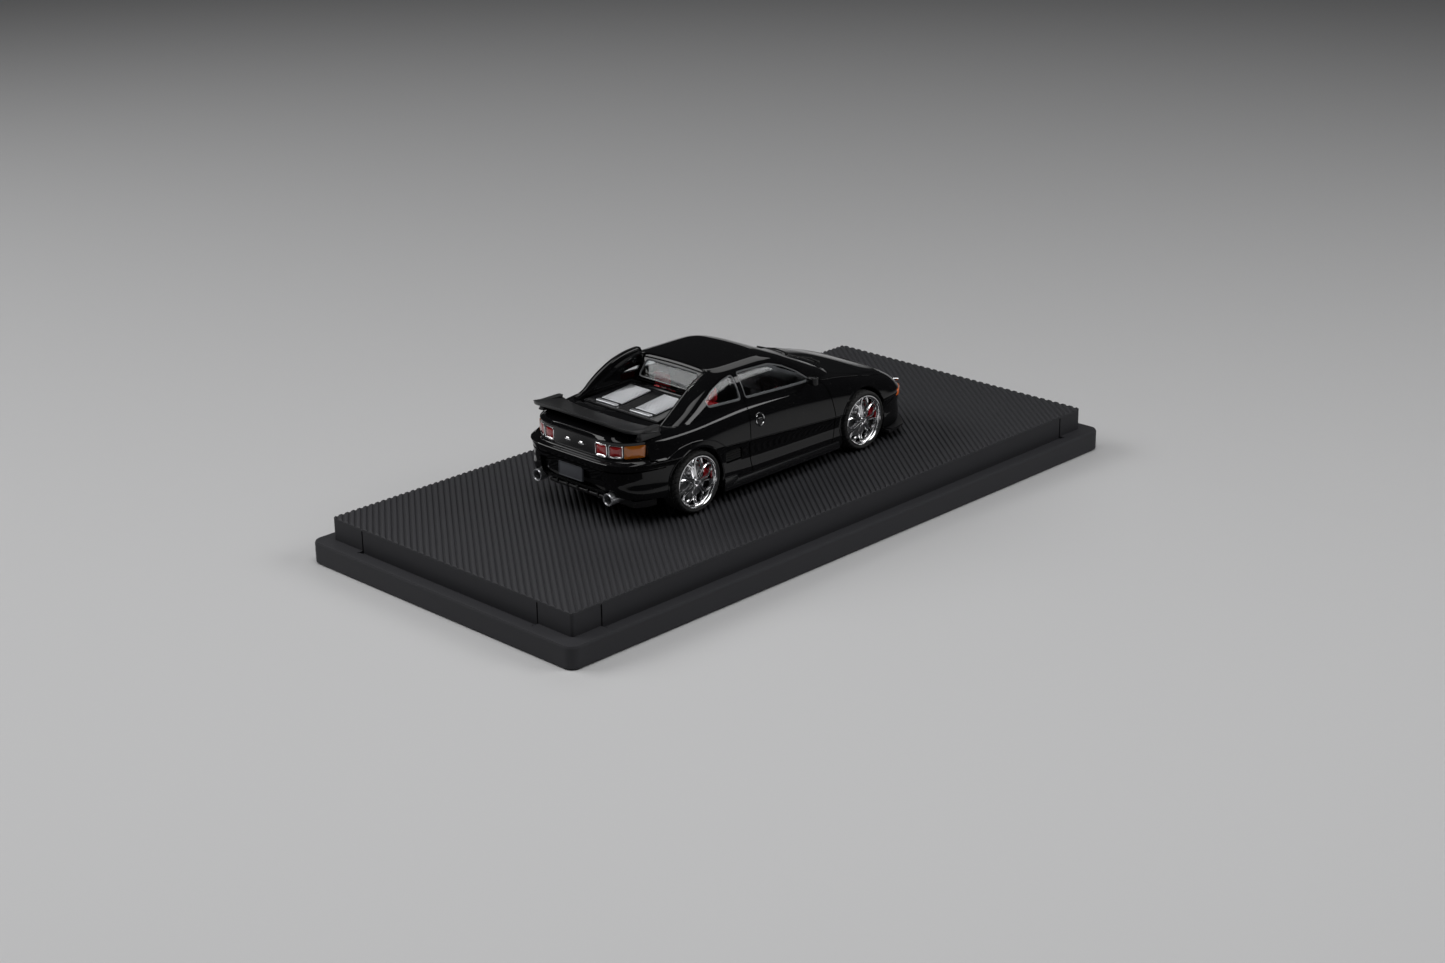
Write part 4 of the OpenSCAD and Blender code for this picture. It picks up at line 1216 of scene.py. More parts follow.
def build_engine_cover():
    """Slatted engine lid: a framed black panel, two silver ribbed vents and two bright bars."""
    plate = prism("plate", rounded([(-4.7, -8.0), (4.35, -6.7), (4.35, 6.7), (-4.7, 8.0)], 0.4), 0.0,
                  0.42, "z")
    soften(plate, 0.1)
    for side in SIDES:
        for x in ((-4.15, -3.15), (-2.85, 3.55)):
            cut(plate, box("recess", x, sorted((side * 1.3, side * 6.0)), (0.2, 1)))
    parts = [plate]
    for side in SIDES:
        border = [(-2.95, side * 1.2), (3.65, side * 1.2), (3.65, side * 6.1), (-2.95, side * 6.1)]
        parts.append(tube("border", [(x, y, 0.44) for x, y in rounded(border, 0.3)], 0.07, 8, closed=True))
    parts.append(tube("ridge", [(-4.5, y, 0.44) for y in np.linspace(-7.6, 7.6, 10)], 0.08, 8))
    parts.append(box("louvre_flat", (3.75, 4.25), (-5.9, -1.5), (0.3, 0.5), 0.05))
    place(on_cover(joined("engine_cover_panel", parts)), trim_black(), ["engine_cover"])
    ribs, pitch = [], 0.31
    for side in SIDES:
        y = sorted((side * 1.4, side * 5.9))
        for x in np.arange(-2.62, 3.4, pitch):
            ribs.append(tube("rib", [(x, y[0], 0.46), (x, y[0] + 0.2, 0.52), (x, y[1] - 0.2, 0.52),
                                     (x, y[1], 0.46)],
                             0.085, 8))
    place(on_cover(joined("vent_ribs", ribs)), silver_mesh(), ["vent_mesh"], angle=50)
    bars = [
        box("bar", (-4.02, -3.28), sorted((side * 1.45, side * 5.85)), (0.22, 0.74), 0.14, 3)
        for side in SIDES
    ]
    place(on_cover(joined("vent_bright_bars", bars)), silver_mesh(), ["vent_bars"])


# Wing sections from the centre out: y, leading x, trailing x, leading z, trailing z, thickness
WING = [
    [0, -24.8, -30.9, 14.0, 15.7, 0.75],
    [5, -24.7, -30.8, 14.0, 15.65, 0.75],
    [9, -24.3, -30.5, 14.1, 15.4, 0.75],
    [10.4, -24.0, -29.9, 14.2, 15.2, 0.7],
    [11.2, -24.0, -28.9, 14.0, 14.8, 0.45],
]


def build_wing():
    """Wide wing with a drooped, rounded end on each side and a square trailing edge."""
    rows = np.array(WING)
    reach = rows[-1, 0]
    ys = np.concatenate([np.linspace(-reach, -8, 16), np.linspace(-7.5, 7.5, 21),
                         np.linspace(8, reach, 16)])
    curves = [smooth_curve(rows[:, 0], rows[:, j]) for j in range(1, 6)]
    rings = []
    for y in ys:
        x0, x1, z0, z1, thick = (float(c(abs(y))) for c in curves)
        close = max(0.0, (abs(y) - reach + 0.5) / 0.5)
        round_off = math.sqrt(max(0.02, 1 - close ** 2))
        upper, lower = [], []
        for u in np.linspace(0, 1, 15):
            x = x0 + (x1 - x0) * (0.5 - (0.5 - u) * (0.55 + 0.45 * round_off))
            z = z0 + (z1 - z0) * u + 0.5 * u * (1 - u) - 0.25 * u * u * (1 - u) * 4 * 0.5
            t = thick * round_off * min(1.0, 0.25 + 2.2 * math.sqrt(u)) * (1 - 0.25 * u)
            upper.append((x, y, z - (thick - thick * round_off) / 2))
            lower.append((x + 0.1 * u, y, z - t - (thick - thick * round_off) / 2))
        rings.append(upper + lower[::-1])
    wing = skin("wing", rings)
    soften(wing, 0.09, 2, 50)
    parts = [wing]
    for side in SIDES:
        foot = []
        for z, grow in ((13.3, 0.25), (13.7, 0.05), (14.2, 0), (14.75, 0.1)):
            foot.append([(x, side * y, z) for x, y in rounded_box_outline(
                (-28.3 - grow, -24.3 + grow), (10.0 - grow, 10.95 + grow * 0.4), 0.35)])
        parts.append(skin("foot", foot))
    place(joined("rear_wing_blade", parts), satin_black(), ["rear_wing"], angle=40)


# ---- tail ----


def tail_path():
    """The tail's plan outline as x and y against the distance round it from the centre line."""
    c, s = outline_steps(400, TAIL_ROW[3], 2.45)
    x, y = body_half(TAIL_ROW, c, s, 0)
    run = np.concatenate([[0], np.cumsum(np.hypot(np.diff(x), np.diff(y)))])
    return run, x, y


TAIL_RUN, TAIL_X, TAIL_Y = tail_path()


def tail_point(run, z, out=0.0):
    """A point on the tail, a distance round from the centre line, moved out square to it."""
    def at(r):
        side = -1 if r < 0 else 1
        return np.array([np.interp(abs(r), TAIL_RUN, TAIL_X), side * np.interp(abs(r), TAIL_RUN, TAIL_Y)])
    here, ahead = at(run), at(run + 0.02) - at(run - 0.02)
    ahead /= np.linalg.norm(ahead)
    spot = here + out * np.array([-ahead[1], ahead[0]])
    return (spot[0], spot[1], z)


def tail_pad(name, runs, heights, radius, rise, depth, out=0.0):
    outline = rounded_box_outline(runs, heights, radius)
    return pad(name, lambda u, v, o: tail_point(u, v, out + o), outline, rise, depth)


def build_tail():
    """Gloss panel with four lamp wells, silver lamp bezels and plain badges, and the corner lamps."""
    end = 16.2
    stations = np.linspace(-end, end, 160)
    rings = [[tail_point(r, PANEL_LOW, -0.25), tail_point(r, 10.46, -0.15), tail_point(r, 12.9, -0.15),
              tail_point(r, PANEL_HIGH, -0.25), tail_point(r, PANEL_HIGH, -1.2),
              tail_point(r, PANEL_LOW, -1.2)] for r in stations]
    panel = skin("tail_panel_moulding", rings)
    lamps = [side * y for side in SIDES for y in STOP_LAMP_RUNS]
    for y in lamps:
        cut(panel, tail_pad("well", (y - 1.14, y + 1.14), (10.5, 12.5), 0.35, 0.0, 0.75, 0.5))
    edge = [tail_point(r, 10.38, -0.12) for r in np.linspace(-9.3, 9.3, 60)]
    top = [tail_point(r, 12.98, -0.12) for r in np.linspace(-12, 12, 60)]
    panel = joined("tail_panel_moulding", [panel, tube("edge", edge, 0.09, 8), tube("top", top, 0.07, 8)])
    place(panel, trim_black(), ["tail_panel"])
    lenses, chrome_pieces = [], []
    for y in lamps:
        lenses.append(tail_pad("lens", (y - 1.05, y + 1.05), (10.66, 12.42), 0.38, 0.22, 0.7, -0.3))
        outline = rounded_box_outline((y - 1.08, y + 1.08), (10.58, 12.45), 0.38)
        ring = [tail_point(u, v, -0.16) for u, v in outline]
        chrome_pieces.append(tube("bezel", ring, 0.09, 8, closed=True))
        chrome_pieces.append(tail_pad("foot", (y - 0.95, y + 0.95), (10.5, 10.82), 0.14, 0.06, 0.4, -0.14))
    # The 0.04 given to lens() is a painted glow on the unlit red lenses.
    place(joined("stop_lamp_lenses", lenses), lens("lens_red_plastic", (0.42, 0.01, 0.012), 0.04),
          ["stop_lamps"])
    for y in (-1.45, 1.45):
        badge = circle_outline(0.62, 28, (y, 11.55), 0.5)
        chrome_pieces.append(pad("badge", lambda u, v, o: tail_point(u, v, o - 0.15), badge, 0.1, 0.1))
    place(joined("tail_bright_parts", chrome_pieces), bright_chrome())
    amber, smoke = [], []
    for side in SIDES:
        def on_tail(u, v, o, side=side):
            return tail_point(side * u, v, o)
        amber.append(pad("amber", on_tail,
                         rounded([(9.5, 10.56), (12.6, 10.62), (12.75, 12.5), (9.5, 12.5)], 0.22),
                         0.1, 0.9))
        smoke.append(pad("smoke", on_tail,
                         rounded([(12.8, 10.66), (15.9, 10.95), (14.5, 12.1), (12.95, 12.46)], 0.15),
                         0.06, 0.9))
    # The 0.03 given to lens() is a painted glow on the unlit amber lenses.
    place(joined("turn_lamp_lenses", amber), lens("lens_amber_plastic", (0.62, 0.17, 0.01), 0.03),
          ["turn_lamps"])
    place(joined("corner_smoke_lenses", smoke), lens("lens_smoke_plastic", (0.05, 0.05, 0.055), 0.0))


def build_rear_bumper():
    """Blank number plate, diffuser with strakes, silencer and the two round exhaust tips."""
    plate = box("plate", (-32.3, -31.98), (-2.6, 2.6), (6.0, 8.3), 0.08, 3)
    rim = rounded_box_outline((-2.5, 2.5), (6.1, 8.2), 0.25)
    parts = [plate, tube("plate_rim", [(-32.3, y, z) for y, z in rim], 0.07, 8, closed=True)]
    place(joined("number_plate_blank", parts), plate_grey(), ["number_plate"])
    blade_parts = [box("tray", (-31.0, -28.1), (-6.2, 6.2), (3.7, 4.3), 0.22, 3)]
    for y in (-4.4, -2.2, 0, 2.2, 4.4):
        strake = prism("strake",
                       rounded([(-31.1, 3.75), (-31.1, 4.5), (-30.4, 4.75), (-28.6, 4.5), (-28.6, 3.9)],
                               0.15),
                       y - 0.12, y + 0.12)
        blade_parts.append(strake)
    place(joined("rear_diffuser_blade", blade_parts), satin_black(), ["rear_diffuser"])
    tips = []
    lip = [(0.72, -3.8), (0.72, -0.1), (0.78, 0), (0.9, 0.02), (0.97, -0.1), (0.95, -0.35), (0.93, -1.6),
           (0.8, -1.75),
           (0.8, -7.4), (0.5, -7.5), (0.5, -3.8)]
    for side in SIDES:
        tip = turned("tip", lip, (0, 0, 0), 48)
        tips.append(moved(tip, exhaust_frame(-32.2, side)))
    place(joined("exhaust_tip_pair", tips), silver_mesh(), ["exhaust_tips"])
    rings = []
    for y in np.concatenate([np.linspace(-6.6, -6.2, 4), np.linspace(-5.8, 5.8, 9),
                             np.linspace(6.2, 6.6, 4)]):
        shrink = 1 - 0.45 * max(0, (abs(y) - 6.2) / 0.4) ** 2
        rings.append([(-26.3 + 1.4 * shrink * u, y, 4.65 + 1.25 * shrink * v) for u, v in
                      circle_outline(1.0, 36)])
    box_parts = [skin("drum", rings)]
    for y in (-4.5, -0.8, 0.8, 4.5):
        seam = [(-26.3 + 1.42 * u, y, 4.65 + 1.27 * v) for u, v in circle_outline(1.0, 36)]
        box_parts.append(tube("seam", seam, 0.08, 6, closed=True))
    place(joined("silencer_drum", box_parts), brushed_steel(), ["silencer"])


# ---- sides and nose ----


def side_pad(name, outline, rise, depth, side, out=0.0):
    """A pad on the body's flank, from an outline in x and z."""
    return pad(name, lambda u, v, o: (u, side * (body_side(u, v) + out + o), v), outline, rise, depth)


def build_flanks():
    """Stepped sill skirts, slatted intakes, round handle wells with chrome arcs on their rims as painted
    highlights, and the door mirrors.
    """
    for side in SIDES:
        name = "left" if side > 0 else "right"
        y = sorted((side * 12.75, side * 13.22))
        skirt = prism("skirt",
                      rounded([(-13.2, 1.8), (12.9, 1.8), (12.6, 3.1), (-10.2, 3.3), (-10.5, 3.95),
                               (-13.2, 3.95)], 0.2), *y)
        soften(skirt, 0.1, 2, 35)
        ridge = tube("ridge", [(x, side * 13.2, 2.35) for x in np.linspace(-12.8, 12.4, 8)], 0.07, 8)
        place(joined(f"side_skirt_{name}_moulding", [skirt, ridge]), trim_black(),
              [f"side_skirt_{name}"], angle=40)
        y0, tilt = side * 13.6, -1 if side < 0 else 1
        head = cushion("head", (5.95, y0, 14.75), (1.25, 1.75, 1.15), crown=0.6, squareness=3)
        arm = tube("arm",
                   bend([(6.1, y0 - tilt * 0.4, 14.45), (6.5, side * 12.6, 14.25),
                         (6.9, side * 11.7, 14.15)]),
                   [0.3, 0.29, 0.28, 0.27, 0.26, 0.26, 0.26, 0.27, 0.29, 0.32, 0.34, 0.36, 0.38], 12,
                   flat=0.8)
        place(joined(f"mirror_{name}_housing", [head, arm]), body_paint(),
              [f"mirror_{name}"], angle=50)
    grilles, handles, shine = [], [], []
    for side in SIDES:
        y = sorted((side * 12.25, side * 12.45))
        grilles.append(prism("bed", rounded_box_outline((-12.5, -9.1), (6.1, 7.8), 0.45), *y))
        for z in np.arange(6.35, 7.7, 0.36):
            slat = prism("slat",
                         rounded([(-12.4, z), (-9.2, z - 0.1), (-9.2, z + 0.06), (-12.4, z + 0.16)], 0.05),
                         *sorted((side * 12.4, side * 12.66)))
            grilles.append(slat)
        ring = [(x, side * body_side(x, z), z) for x, z in circle_outline(0.98, 40, HANDLE_CENTRE)]
        handles.append(tube("ring", ring, 0.11, 8, closed=True))
        handles.append(side_pad("dish", circle_outline(0.9, 36, HANDLE_CENTRE), -0.15, 0.3, side, 0.06))
        # Two chrome arcs on each well's rim are painted highlights: bright pieces set where light glints on
        # the rim.
        for a0, a1 in ((-60, 50), (130, 210)):
            arc = [(HANDLE_CENTRE[0] + 0.86 * math.cos(math.radians(a)),
                    HANDLE_CENTRE[1] + 0.86 * math.sin(math.radians(a)))
                   for a in np.linspace(a0, a1, 12)]
            shine.append(tube("crescent", [(x, side * (body_side(x, z) + 0.06), z) for x, z in arc], 0.08,
                              8))
        handles.append(side_pad("flap", rounded_box_outline((-5.5, -4.5), (11.0, 11.45), 0.15), 0.06, 0.2,
                                side, 0.05))
    place(joined("side_grille_slats", grilles), matt_black(), ["side_grilles"])
    place(joined("door_handle_wells", handles), trim_black(), ["door_handles"])
    place(joined("door_handle_glints", shine), bright_chrome())


def build_nose():
    """Front lip with canards, bumper lamps, slanted markers and wipers."""
    outer, inner = plan_outline(BODY[1], -0.85), plan_outline(BODY[1], 3)
    lip = prism("lip", outer, 1.12, 1.6, "z")
    cut(lip, prism("inside", inner, 0, 3, "z"), box("rear", (-60, 24.9), (-30, 30), (0, 3)))
    soften(lip, 0.12, 2, 35)
    parts = [lip]
    for side in SIDES:
        canard = prism("canard",
                       rounded([(25.2, side * 12.3), (29.9, side * 11.6), (28.8, side * 12.75),
                                (25.6, side * 13.15)], 0.2),
                       1.62, 1.82, "z")
        parts.append(canard)
    place(joined("front_lip_blade", parts), satin_black(), ["front_lip"], angle=40)
    markers, lamps, chrome_pieces = [], [], []
    for side in SIDES:
        turn = marker_frame(side)

        def on_corner(u, v, o, turn=turn):
            return tuple(turn @ Vector((u, o - 0.75, v)))
        outline = rounded([(-1.85, 6.2), (1.6, 6.2), (1.9, 7.2), (-1.6, 7.2)], 0.25)
        markers.append(pad("marker", on_corner, outline, 0.3, 0.9))
        # The chrome dot at each marker's top corner is a painted highlight: a bright spot where light
        # glints on the lens.
        spot = pad("spot", on_corner, circle_outline(0.22, 16, (2.1, 7.75)), 0.12, 0.8)
        chrome_pieces.append(spot)
        lamp = rounded_box_outline(sorted((side * 5.7, side * 9.1)), (4.3, 5.5), 0.38)
        lamps.append(pad("lamp", lambda y, z, o: (31.55 + o, y, z), lamp, 0.25, 0.8))
        chrome_pieces.append(tube("bezel", [(31.6, y, z) for y, z in lamp], 0.09, 8, closed=True))
    # The 0.08 given to lens() is a painted glow on the unlit orange lenses.
    place(joined("front_marker_lenses", markers), lens("lens_orange_plastic", (0.9, 0.2, 0.015), 0.08),
          ["front_markers"])
    place(joined("front_lamp_lenses", lamps), lens("lens_clear_plastic", (0.75, 0.77, 0.8), 0.0, 0.7),
          ["front_lamps"])
    place(joined("front_lamp_bezels_and_glints", chrome_pieces), bright_chrome())
    wipers = []
    for y in (-5.2, 1.6):
        wipers.append(tube("blade",
                           [(12.5, y + v, 15.15 - 0.02 * v * v) for v in np.linspace(-2.7, 2.7, 9)], 0.11,
                           8))
        wipers.append(tube("arm", bend([(12.5, y, 15.25), (13.8, y - 0.5, 14.85), (15.2, y - 1.2, 14.1)],
                                       4), 0.13, 8))
        wipers.append(pad("pivot", lambda u, v, o, y=y: (15.2 + u, y - 1.2 + v, 14.1 + o),
                          circle_outline(0.3, 16), 0.15, 0.3))
    place(joined("wiper_pair", wipers), matt_black(), ["wipers"])


# ---- wheels ----


def wheel_frame(x, side):
    """From a wheel's own frame, y outwards, to its place on the axle."""
    return Matrix.Translation((x, side * HALF_TRACK, AXLE_Z)) @ Matrix.Diagonal((1, side, 1, 1))


def build_rim(name, x, side, body):
    """Deep rim with a stepped lip and seven pairs of curved spokes."""
    s = bpy.context.scene.collector_car
    low, high = (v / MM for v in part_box(f"rim_{name}"))
    r, w = (high.z - low.z) / 2, (high.y - low.y) / 2 - 0.03
    barrel = [(r, -w), (r, -w + 0.25), (r - 0.22, -w + 0.4), (r - 0.22, w - 0.5), (r - 0.02, w - 0.3),
              (r, w - 0.12),
              (r - 0.05, w), (r - 0.16, w + 0.02), (r - 0.24, w - 0.08), (r - 0.3, w - 0.3),
              (r - 0.42, w - 0.36),
              (r - 0.5, w - 0.5), (r - 0.56, w - 1.0), (r - 0.5, w - 1.2), (r - 0.46, -w + 0.1)]
    parts = [turned("barrel", barrel, (0, 0, 0), 96)]
    pairs = s.spoke_pairs
    hub_y, rim_y = 1.12, 0.72
    for k in range(pairs):
        for hand in SIDES:
            path, radii = [], []
            for u in np.linspace(0, 1, 12):
                radius = 0.75 + u * (r - 0.5 - 0.75)
                spread = 10.5 - 4.5 * math.sin(math.pi * u) + 8.0 * (max(0, u - 0.6) / 0.4) ** 1.5
                a = 2 * math.pi * k / pairs + math.radians(hand * spread)
                dish = hub_y + (rim_y - hub_y) * u ** 1.3 + 0.1 * math.sin(math.pi * u)
                path.append((radius * math.cos(a), dish, radius * math.sin(a)))
                radii.append(0.25 - 0.05 * math.sin(math.pi * u) + 0.08 * max(0, u - 0.85) / 0.15)
            parts.append(tube("spoke", path, radii, 8, flat=1.25))
    parts.append(turned("hub", [(0, 0.5), (1.02, 0.5), (1.05, 1.0), (0.95, 1.16), (0.55, 1.2),
                                (0.5, 1.12), (0.46, 1.3),
                                (0.36, 1.4), (0, 1.42)], (0, 0, 0), 48))
    for k in range(5):
        a = 2 * math.pi * k / 5 + 0.3
        nut = turned("nut", [(0, 1.0), (0.15, 1.0), (0.15, 1.28), (0.1, 1.34), (0, 1.34)], (0, 0, 0), 6)
        parts.append(moved(nut, Matrix.Translation((0.74 * math.cos(a), 0, 0.74 * math.sin(a)))))
    valve = tube("valve", [((r - 0.55) * math.cos(0.22), 0.6, (r - 0.55) * math.sin(0.22)),
                           ((r - 0.6) * math.cos(0.22), 0.95, (r - 0.6) * math.sin(0.22))], 0.07, 8)
    rim = moved(joined(f"rim_{name}_chromed", [*parts, valve]), wheel_frame(x, side))
    place(rim, bright_chrome(), [f"rim_{name}"], body, angle=40)


def build_tyre(name, x, side, body):
    """Low tyre with round grooves and slanted shoulder blocks."""
    r, w, inner = TYRE_R, 1.65, 4.12
    profile = [(inner, -w + 0.1), (inner + 0.12, -w - 0.02), (r - 0.4, -w - 0.04), (r - 0.25, -w + 0.02)]
    tread = [(r - 0.02 - 0.16 * abs(v) ** 6, v * (w - 0.06)) for v in np.linspace(-1, 1, 31)]
    profile += tread + [(a, -b) for a, b in profile[::-1]]
    blocks, steps = 34, 272
    rings = []
    for k in range(steps):
        a = 2 * math.pi * k / steps
        ring = []
        for radius, y in profile:
            if radius > r - 0.3 and abs(y) < w:
                wave = (k * blocks / steps + abs(y) * 0.9) % 1
                slanted = abs(y) > 0.5 and wave < 0.24
                circular = min(abs(abs(y) - 0.5), abs(abs(y) - 1.12)) < 0.07
                radius -= 0.13 * (slanted or circular)
            ring.append((radius * math.cos(a), y, radius * math.sin(a)))
        rings.append(ring)
    rings.append(rings[0])
    tyre = skin("tyre", rings, closed_ends=False)
    band = [((r - 0.42) * math.cos(a), w + 0.03, (r - 0.42) * math.sin(a)) for a in full_turn(96)]
    parts = [tyre, tube("band", band, 0.04, 6, closed=True)]
    tyre = moved(joined(f"tyre_{name}_rubber", parts), wheel_frame(x, side))
    place(tyre, tyre_rubber(), [f"tyre_{name}"], body, angle=40)


def build_wheels():
    for axle, x in (("front", AXLE_X), ("rear", -AXLE_X)):
        for side in SIDES:
            name = f"{axle}_{'left' if side > 0 else 'right'}"
            build_rim(name, x, side, f"{axle}_wheels")
            build_tyre(name, x, side, f"{axle}_wheels")
        finish_node(f"{axle}_axle", screw_steel())


def build_brakes():
    """Discs and red calipers behind the spokes."""
    discs, calipers = [], []
    for x in (AXLE_X, -AXLE_X):
        for side in SIDES:
            here = wheel_frame(x, side)
            disc = turned("disc", [(0.9, -0.2), (2.86, -0.2), (2.9, -0.14), (2.9, 0.14), (2.86, 0.2),
                                   (2.0, 0.2), (1.9, 0.26),
                                   (0.9, 0.26)], (0, 0, 0), 64)
            discs.append(moved(disc, here))
            rings = []
            for a in np.linspace(math.radians(-52), math.radians(12), 14):
                edge = [(2.35, 0.3), (2.4, 0.5), (3.1, 0.52), (3.2, 0.4), (3.24, 0.0), (3.2, -0.4),
                        (3.1, -0.52), (2.4, -0.5),
                        (2.35, -0.3), (2.96, -0.25), (2.98, 0.0), (2.96, 0.25)]
                rings.append([(rr * math.cos(a), y, -rr * math.sin(a)) for rr, y in edge])
            calipers.append(moved(soften(skin("caliper", rings), 0.04, 2, 50), here))
    place(joined("brake_disc_set", discs), brushed_steel(), ["brake_discs"])
    place(joined("brake_caliper_set", calipers), caliper_red(), ["brake_calipers"])


def build_chassis():
    """The plate under the car keeps its CAD shape, in moulded plastic, with its screws in steel."""
    finish_node("chassis_plate", satin_black())
    finish_node("chassis_screws", screw_steel())


# ---- stage ----


def area_light(name, place_at, aim, size, power):
    data = bpy.data.lights.new(name, "AREA")
    data.shape = "RECTANGLE"
    data.size, data.size_y = size
    data.energy = power
    obj = bpy.data.objects.new(name, data)
    obj.location = place_at
    obj.rotation_mode = "QUATERNION"
    obj.rotation_quaternion = (Vector(aim) - Vector(place_at)).to_track_quat("-Z", "Y")
    bpy.context.scene.collection.objects.link(obj)
    return obj


def build_stage():
    """Pale flat floor, soft boxes and the camera."""
    s = bpy.context.scene.collector_stage
    reach = 4.0
    mesh = bpy.data.meshes.new("floor")
    mesh.from_pydata([(-reach, -reach, 0), (reach, -reach, 0), (reach, reach, 0), (-reach, reach, 0)], [],
                     [(0, 1, 2, 3)])
    floor = bpy.data.objects.new("floor", mesh)
    bpy.context.scene.collection.objects.link(floor)
    floor.data.materials.append(base_material("pale_floor", s.floor_color, 0.55, dust=0.0, grain=0.05,
                                              grain_scale=300.0))

    world = bpy.data.worlds.new("studio")
    bpy.context.scene.world = world
    world.use_nodes = True
    world.node_tree.nodes["Background"].inputs["Color"].default_value = (*s.world_color, 1)
    world.node_tree.nodes["Background"].inputs["Strength"].default_value = s.world_strength

    for name, place_at, aim, size, watts in (
        ("overhead_box", (-0.1, -0.1, 0.45), (-0.08, -0.08, 0), (0.4, 0.3), s.overhead_power),
        ("back_box", (0.28, 0.26, 0.33), (0, 0, 0.01), (0.4, 0.12), s.back_power),
        ("right_box", (0.24, -0.33, 0.3), (0, 0, 0.01), (0.3, 0.14), s.side_power),
        ("tail_box", (-0.24, 0.32, 0.3), (0, 0, 0.01), (0.35, 0.18), s.tail_power),
    ):
        light = area_light(name, place_at, aim, size, watts)
        if name == "overhead_box":
            light.data.spread = s.spread

    camera = bpy.data.objects.new("camera", bpy.data.cameras.new("camera"))
    camera.data.sensor_width = 36
    camera.data.lens = s.lens
    camera.data.clip_start, camera.data.clip_end = 0.01, 20
    az, el, roll = s.azimuth, s.elevation, s.roll
    back = Vector((math.sin(az) * math.cos(el), -math.cos(az) * math.cos(el), math.sin(el)))
    right = (-back).cross(Vector((0, 0, 1))).normalized()
    up = right.cross(-back)
    turned_right = right * math.cos(roll) + up * math.sin(roll)
    turned_up = up * math.cos(roll) - right * math.sin(roll)
    spot = Vector(s.aim) + back * s.distance
    camera.matrix_world = Matrix((
        (turned_right.x, turned_up.x, back.x, spot.x),
        (turned_right.y, turned_up.y, back.y, spot.y),
        (turned_right.z, turned_up.z, back.z, spot.z),
        (0, 0, 0, 1),
    ))
    bpy.context.scene.collection.objects.link(camera)
    bpy.context.scene.camera = camera
    bpy.context.scene.view_settings.view_transform = "Standard"


# ---- settings and operators ----


def length(name, default, about, low=0.0, high=0.2):
    return FloatProperty(name=name, description=about, default=default, min=low, max=high, unit="LENGTH",
                         precision=5)


def power(name, default, about):
    return FloatProperty(name=name, description=about, default=default, min=0, max=200, unit="POWER")


def colour(name, default, about):
    return FloatVectorProperty(name=name, description=about, default=default, subtype="COLOR", size=3,
                               min=0, max=1)


def turn(name, degrees, about):
    return FloatProperty(name=name, description=about, default=math.radians(degrees), unit="ROTATION",
                         subtype="ANGLE")


class BaseSettings(bpy.types.PropertyGroup):
    """Sizes of the display base's own detail."""

    ledge_height: length("Ledge height", 0.0036, "Height of the ledge that the clear cover stands on")
    corner_radius: length("Corner radius", 0.0016, "Corner radius of the lower tier")
    edge_bevel: length("Edge bevel", 0.0004, "Width of the bevel along the top edges")
    rib_pitch: length("Rib pitch", 0.0009, "Spacing of the slanted ribs", 0.0005, 0.005)
    rib_depth: length("Rib depth", 0.00025, "Depth of the grooves between the ribs")
    rib_angle: turn("Rib angle", 52, "Direction of the ribs from the car's length")
    notch_long: length("Notch, long side", 0.0055,
                       "Distance of the notches from the corners, on the long sides")
    notch_short: length("Notch, short side", 0.007,
                        "Distance of the notches from the corners, on the short sides")


class CarSettings(bpy.types.PropertyGroup):
    """Finish of the car."""

    paint_color: colour("Paint", (0.004, 0.004, 0.0045), "Colour of the body's lacquer")
    base_color: colour("Base plastic", (0.0035, 0.0035, 0.004), "Colour of the display base")
    seat_color: colour("Seats", (0.55, 0.012, 0.02), "Colour of the seats")
    dust: FloatProperty(name="Dust", description="How much settled dust shows", default=0.12, min=0, max=1)
    spoke_pairs: IntProperty(name="Spoke pairs", description="Pairs of spokes in a rim", default=7, min=3,
                             max=12)


class StageSettings(bpy.types.PropertyGroup):
    """Camera, lights and floor."""

    azimuth: turn("Azimuth", -45.734, "Camera direction: 0 looks along +Y, the car's left")
    elevation: turn("Elevation", 20.664, "Camera height above the horizon")
    roll: turn("Roll", -0.663, "Camera roll")
    distance: length("Distance", 0.37567, "Distance of the camera from its aim point", 0.05, 5)
    aim: FloatVectorProperty(name="Aim", description="Point that the camera looks at",
                             subtype="TRANSLATION",
                             unit="LENGTH", size=3, default=(-0.00289, -0.00169, 0.00469), precision=5)
    lens: FloatProperty(name="Lens", description="Focal length in millimetres", default=59.65, min=10,
                        max=200)
    floor_color: colour("Floor", (0.62, 0.62, 0.625), "Colour of the floor")
    world_color: colour("Room", (0.75, 0.77, 0.8), "Colour of the room's light")
    world_strength: FloatProperty(name="Room light", description="Strength of the room's light",
                                  default=0.02, min=0, max=5)
    overhead_power: power("Overhead box", 0.34, "Power of the soft box over the car")
    back_power: power("Back box", 0.16, "Power of the soft box behind the car")
    side_power: power("Right box", 0.7, "Power of the soft box on the right")
    tail_power: power("Tail box", 1.0, "Power of the soft box behind the tail, on the left")
    spread: turn("Spread", 95, "How widely the overhead box shines")



# ---- operators ----


class BuildBase(bpy.types.Operator):
    """Build the display base's body and its ribbed deck"""

    bl_idname = "collector.build_base"
    bl_label = "Display base"
    bl_options = {"REGISTER", "UNDO"}

    def execute(self, context):
        build_display_base()
        build_ribbed_deck()
        return {"FINISHED"}


class BuildBody(bpy.types.Operator):
    """Build the lacquered body with its shut lines and beads"""

    bl_idname = "collector.build_body"
    bl_label = "Body shell"
    bl_options = {"REGISTER", "UNDO"}

    def execute(self, context):
        build_body()
        return {"FINISHED"}


class BuildGlazing(bpy.types.Operator):
    """Build the windows and their bands"""

    bl_idname = "collector.build_glazing"
    bl_label = "Glazing"
    bl_options = {"REGISTER", "UNDO"}

    def execute(self, context):
        build_glazing()
        return {"FINISHED"}


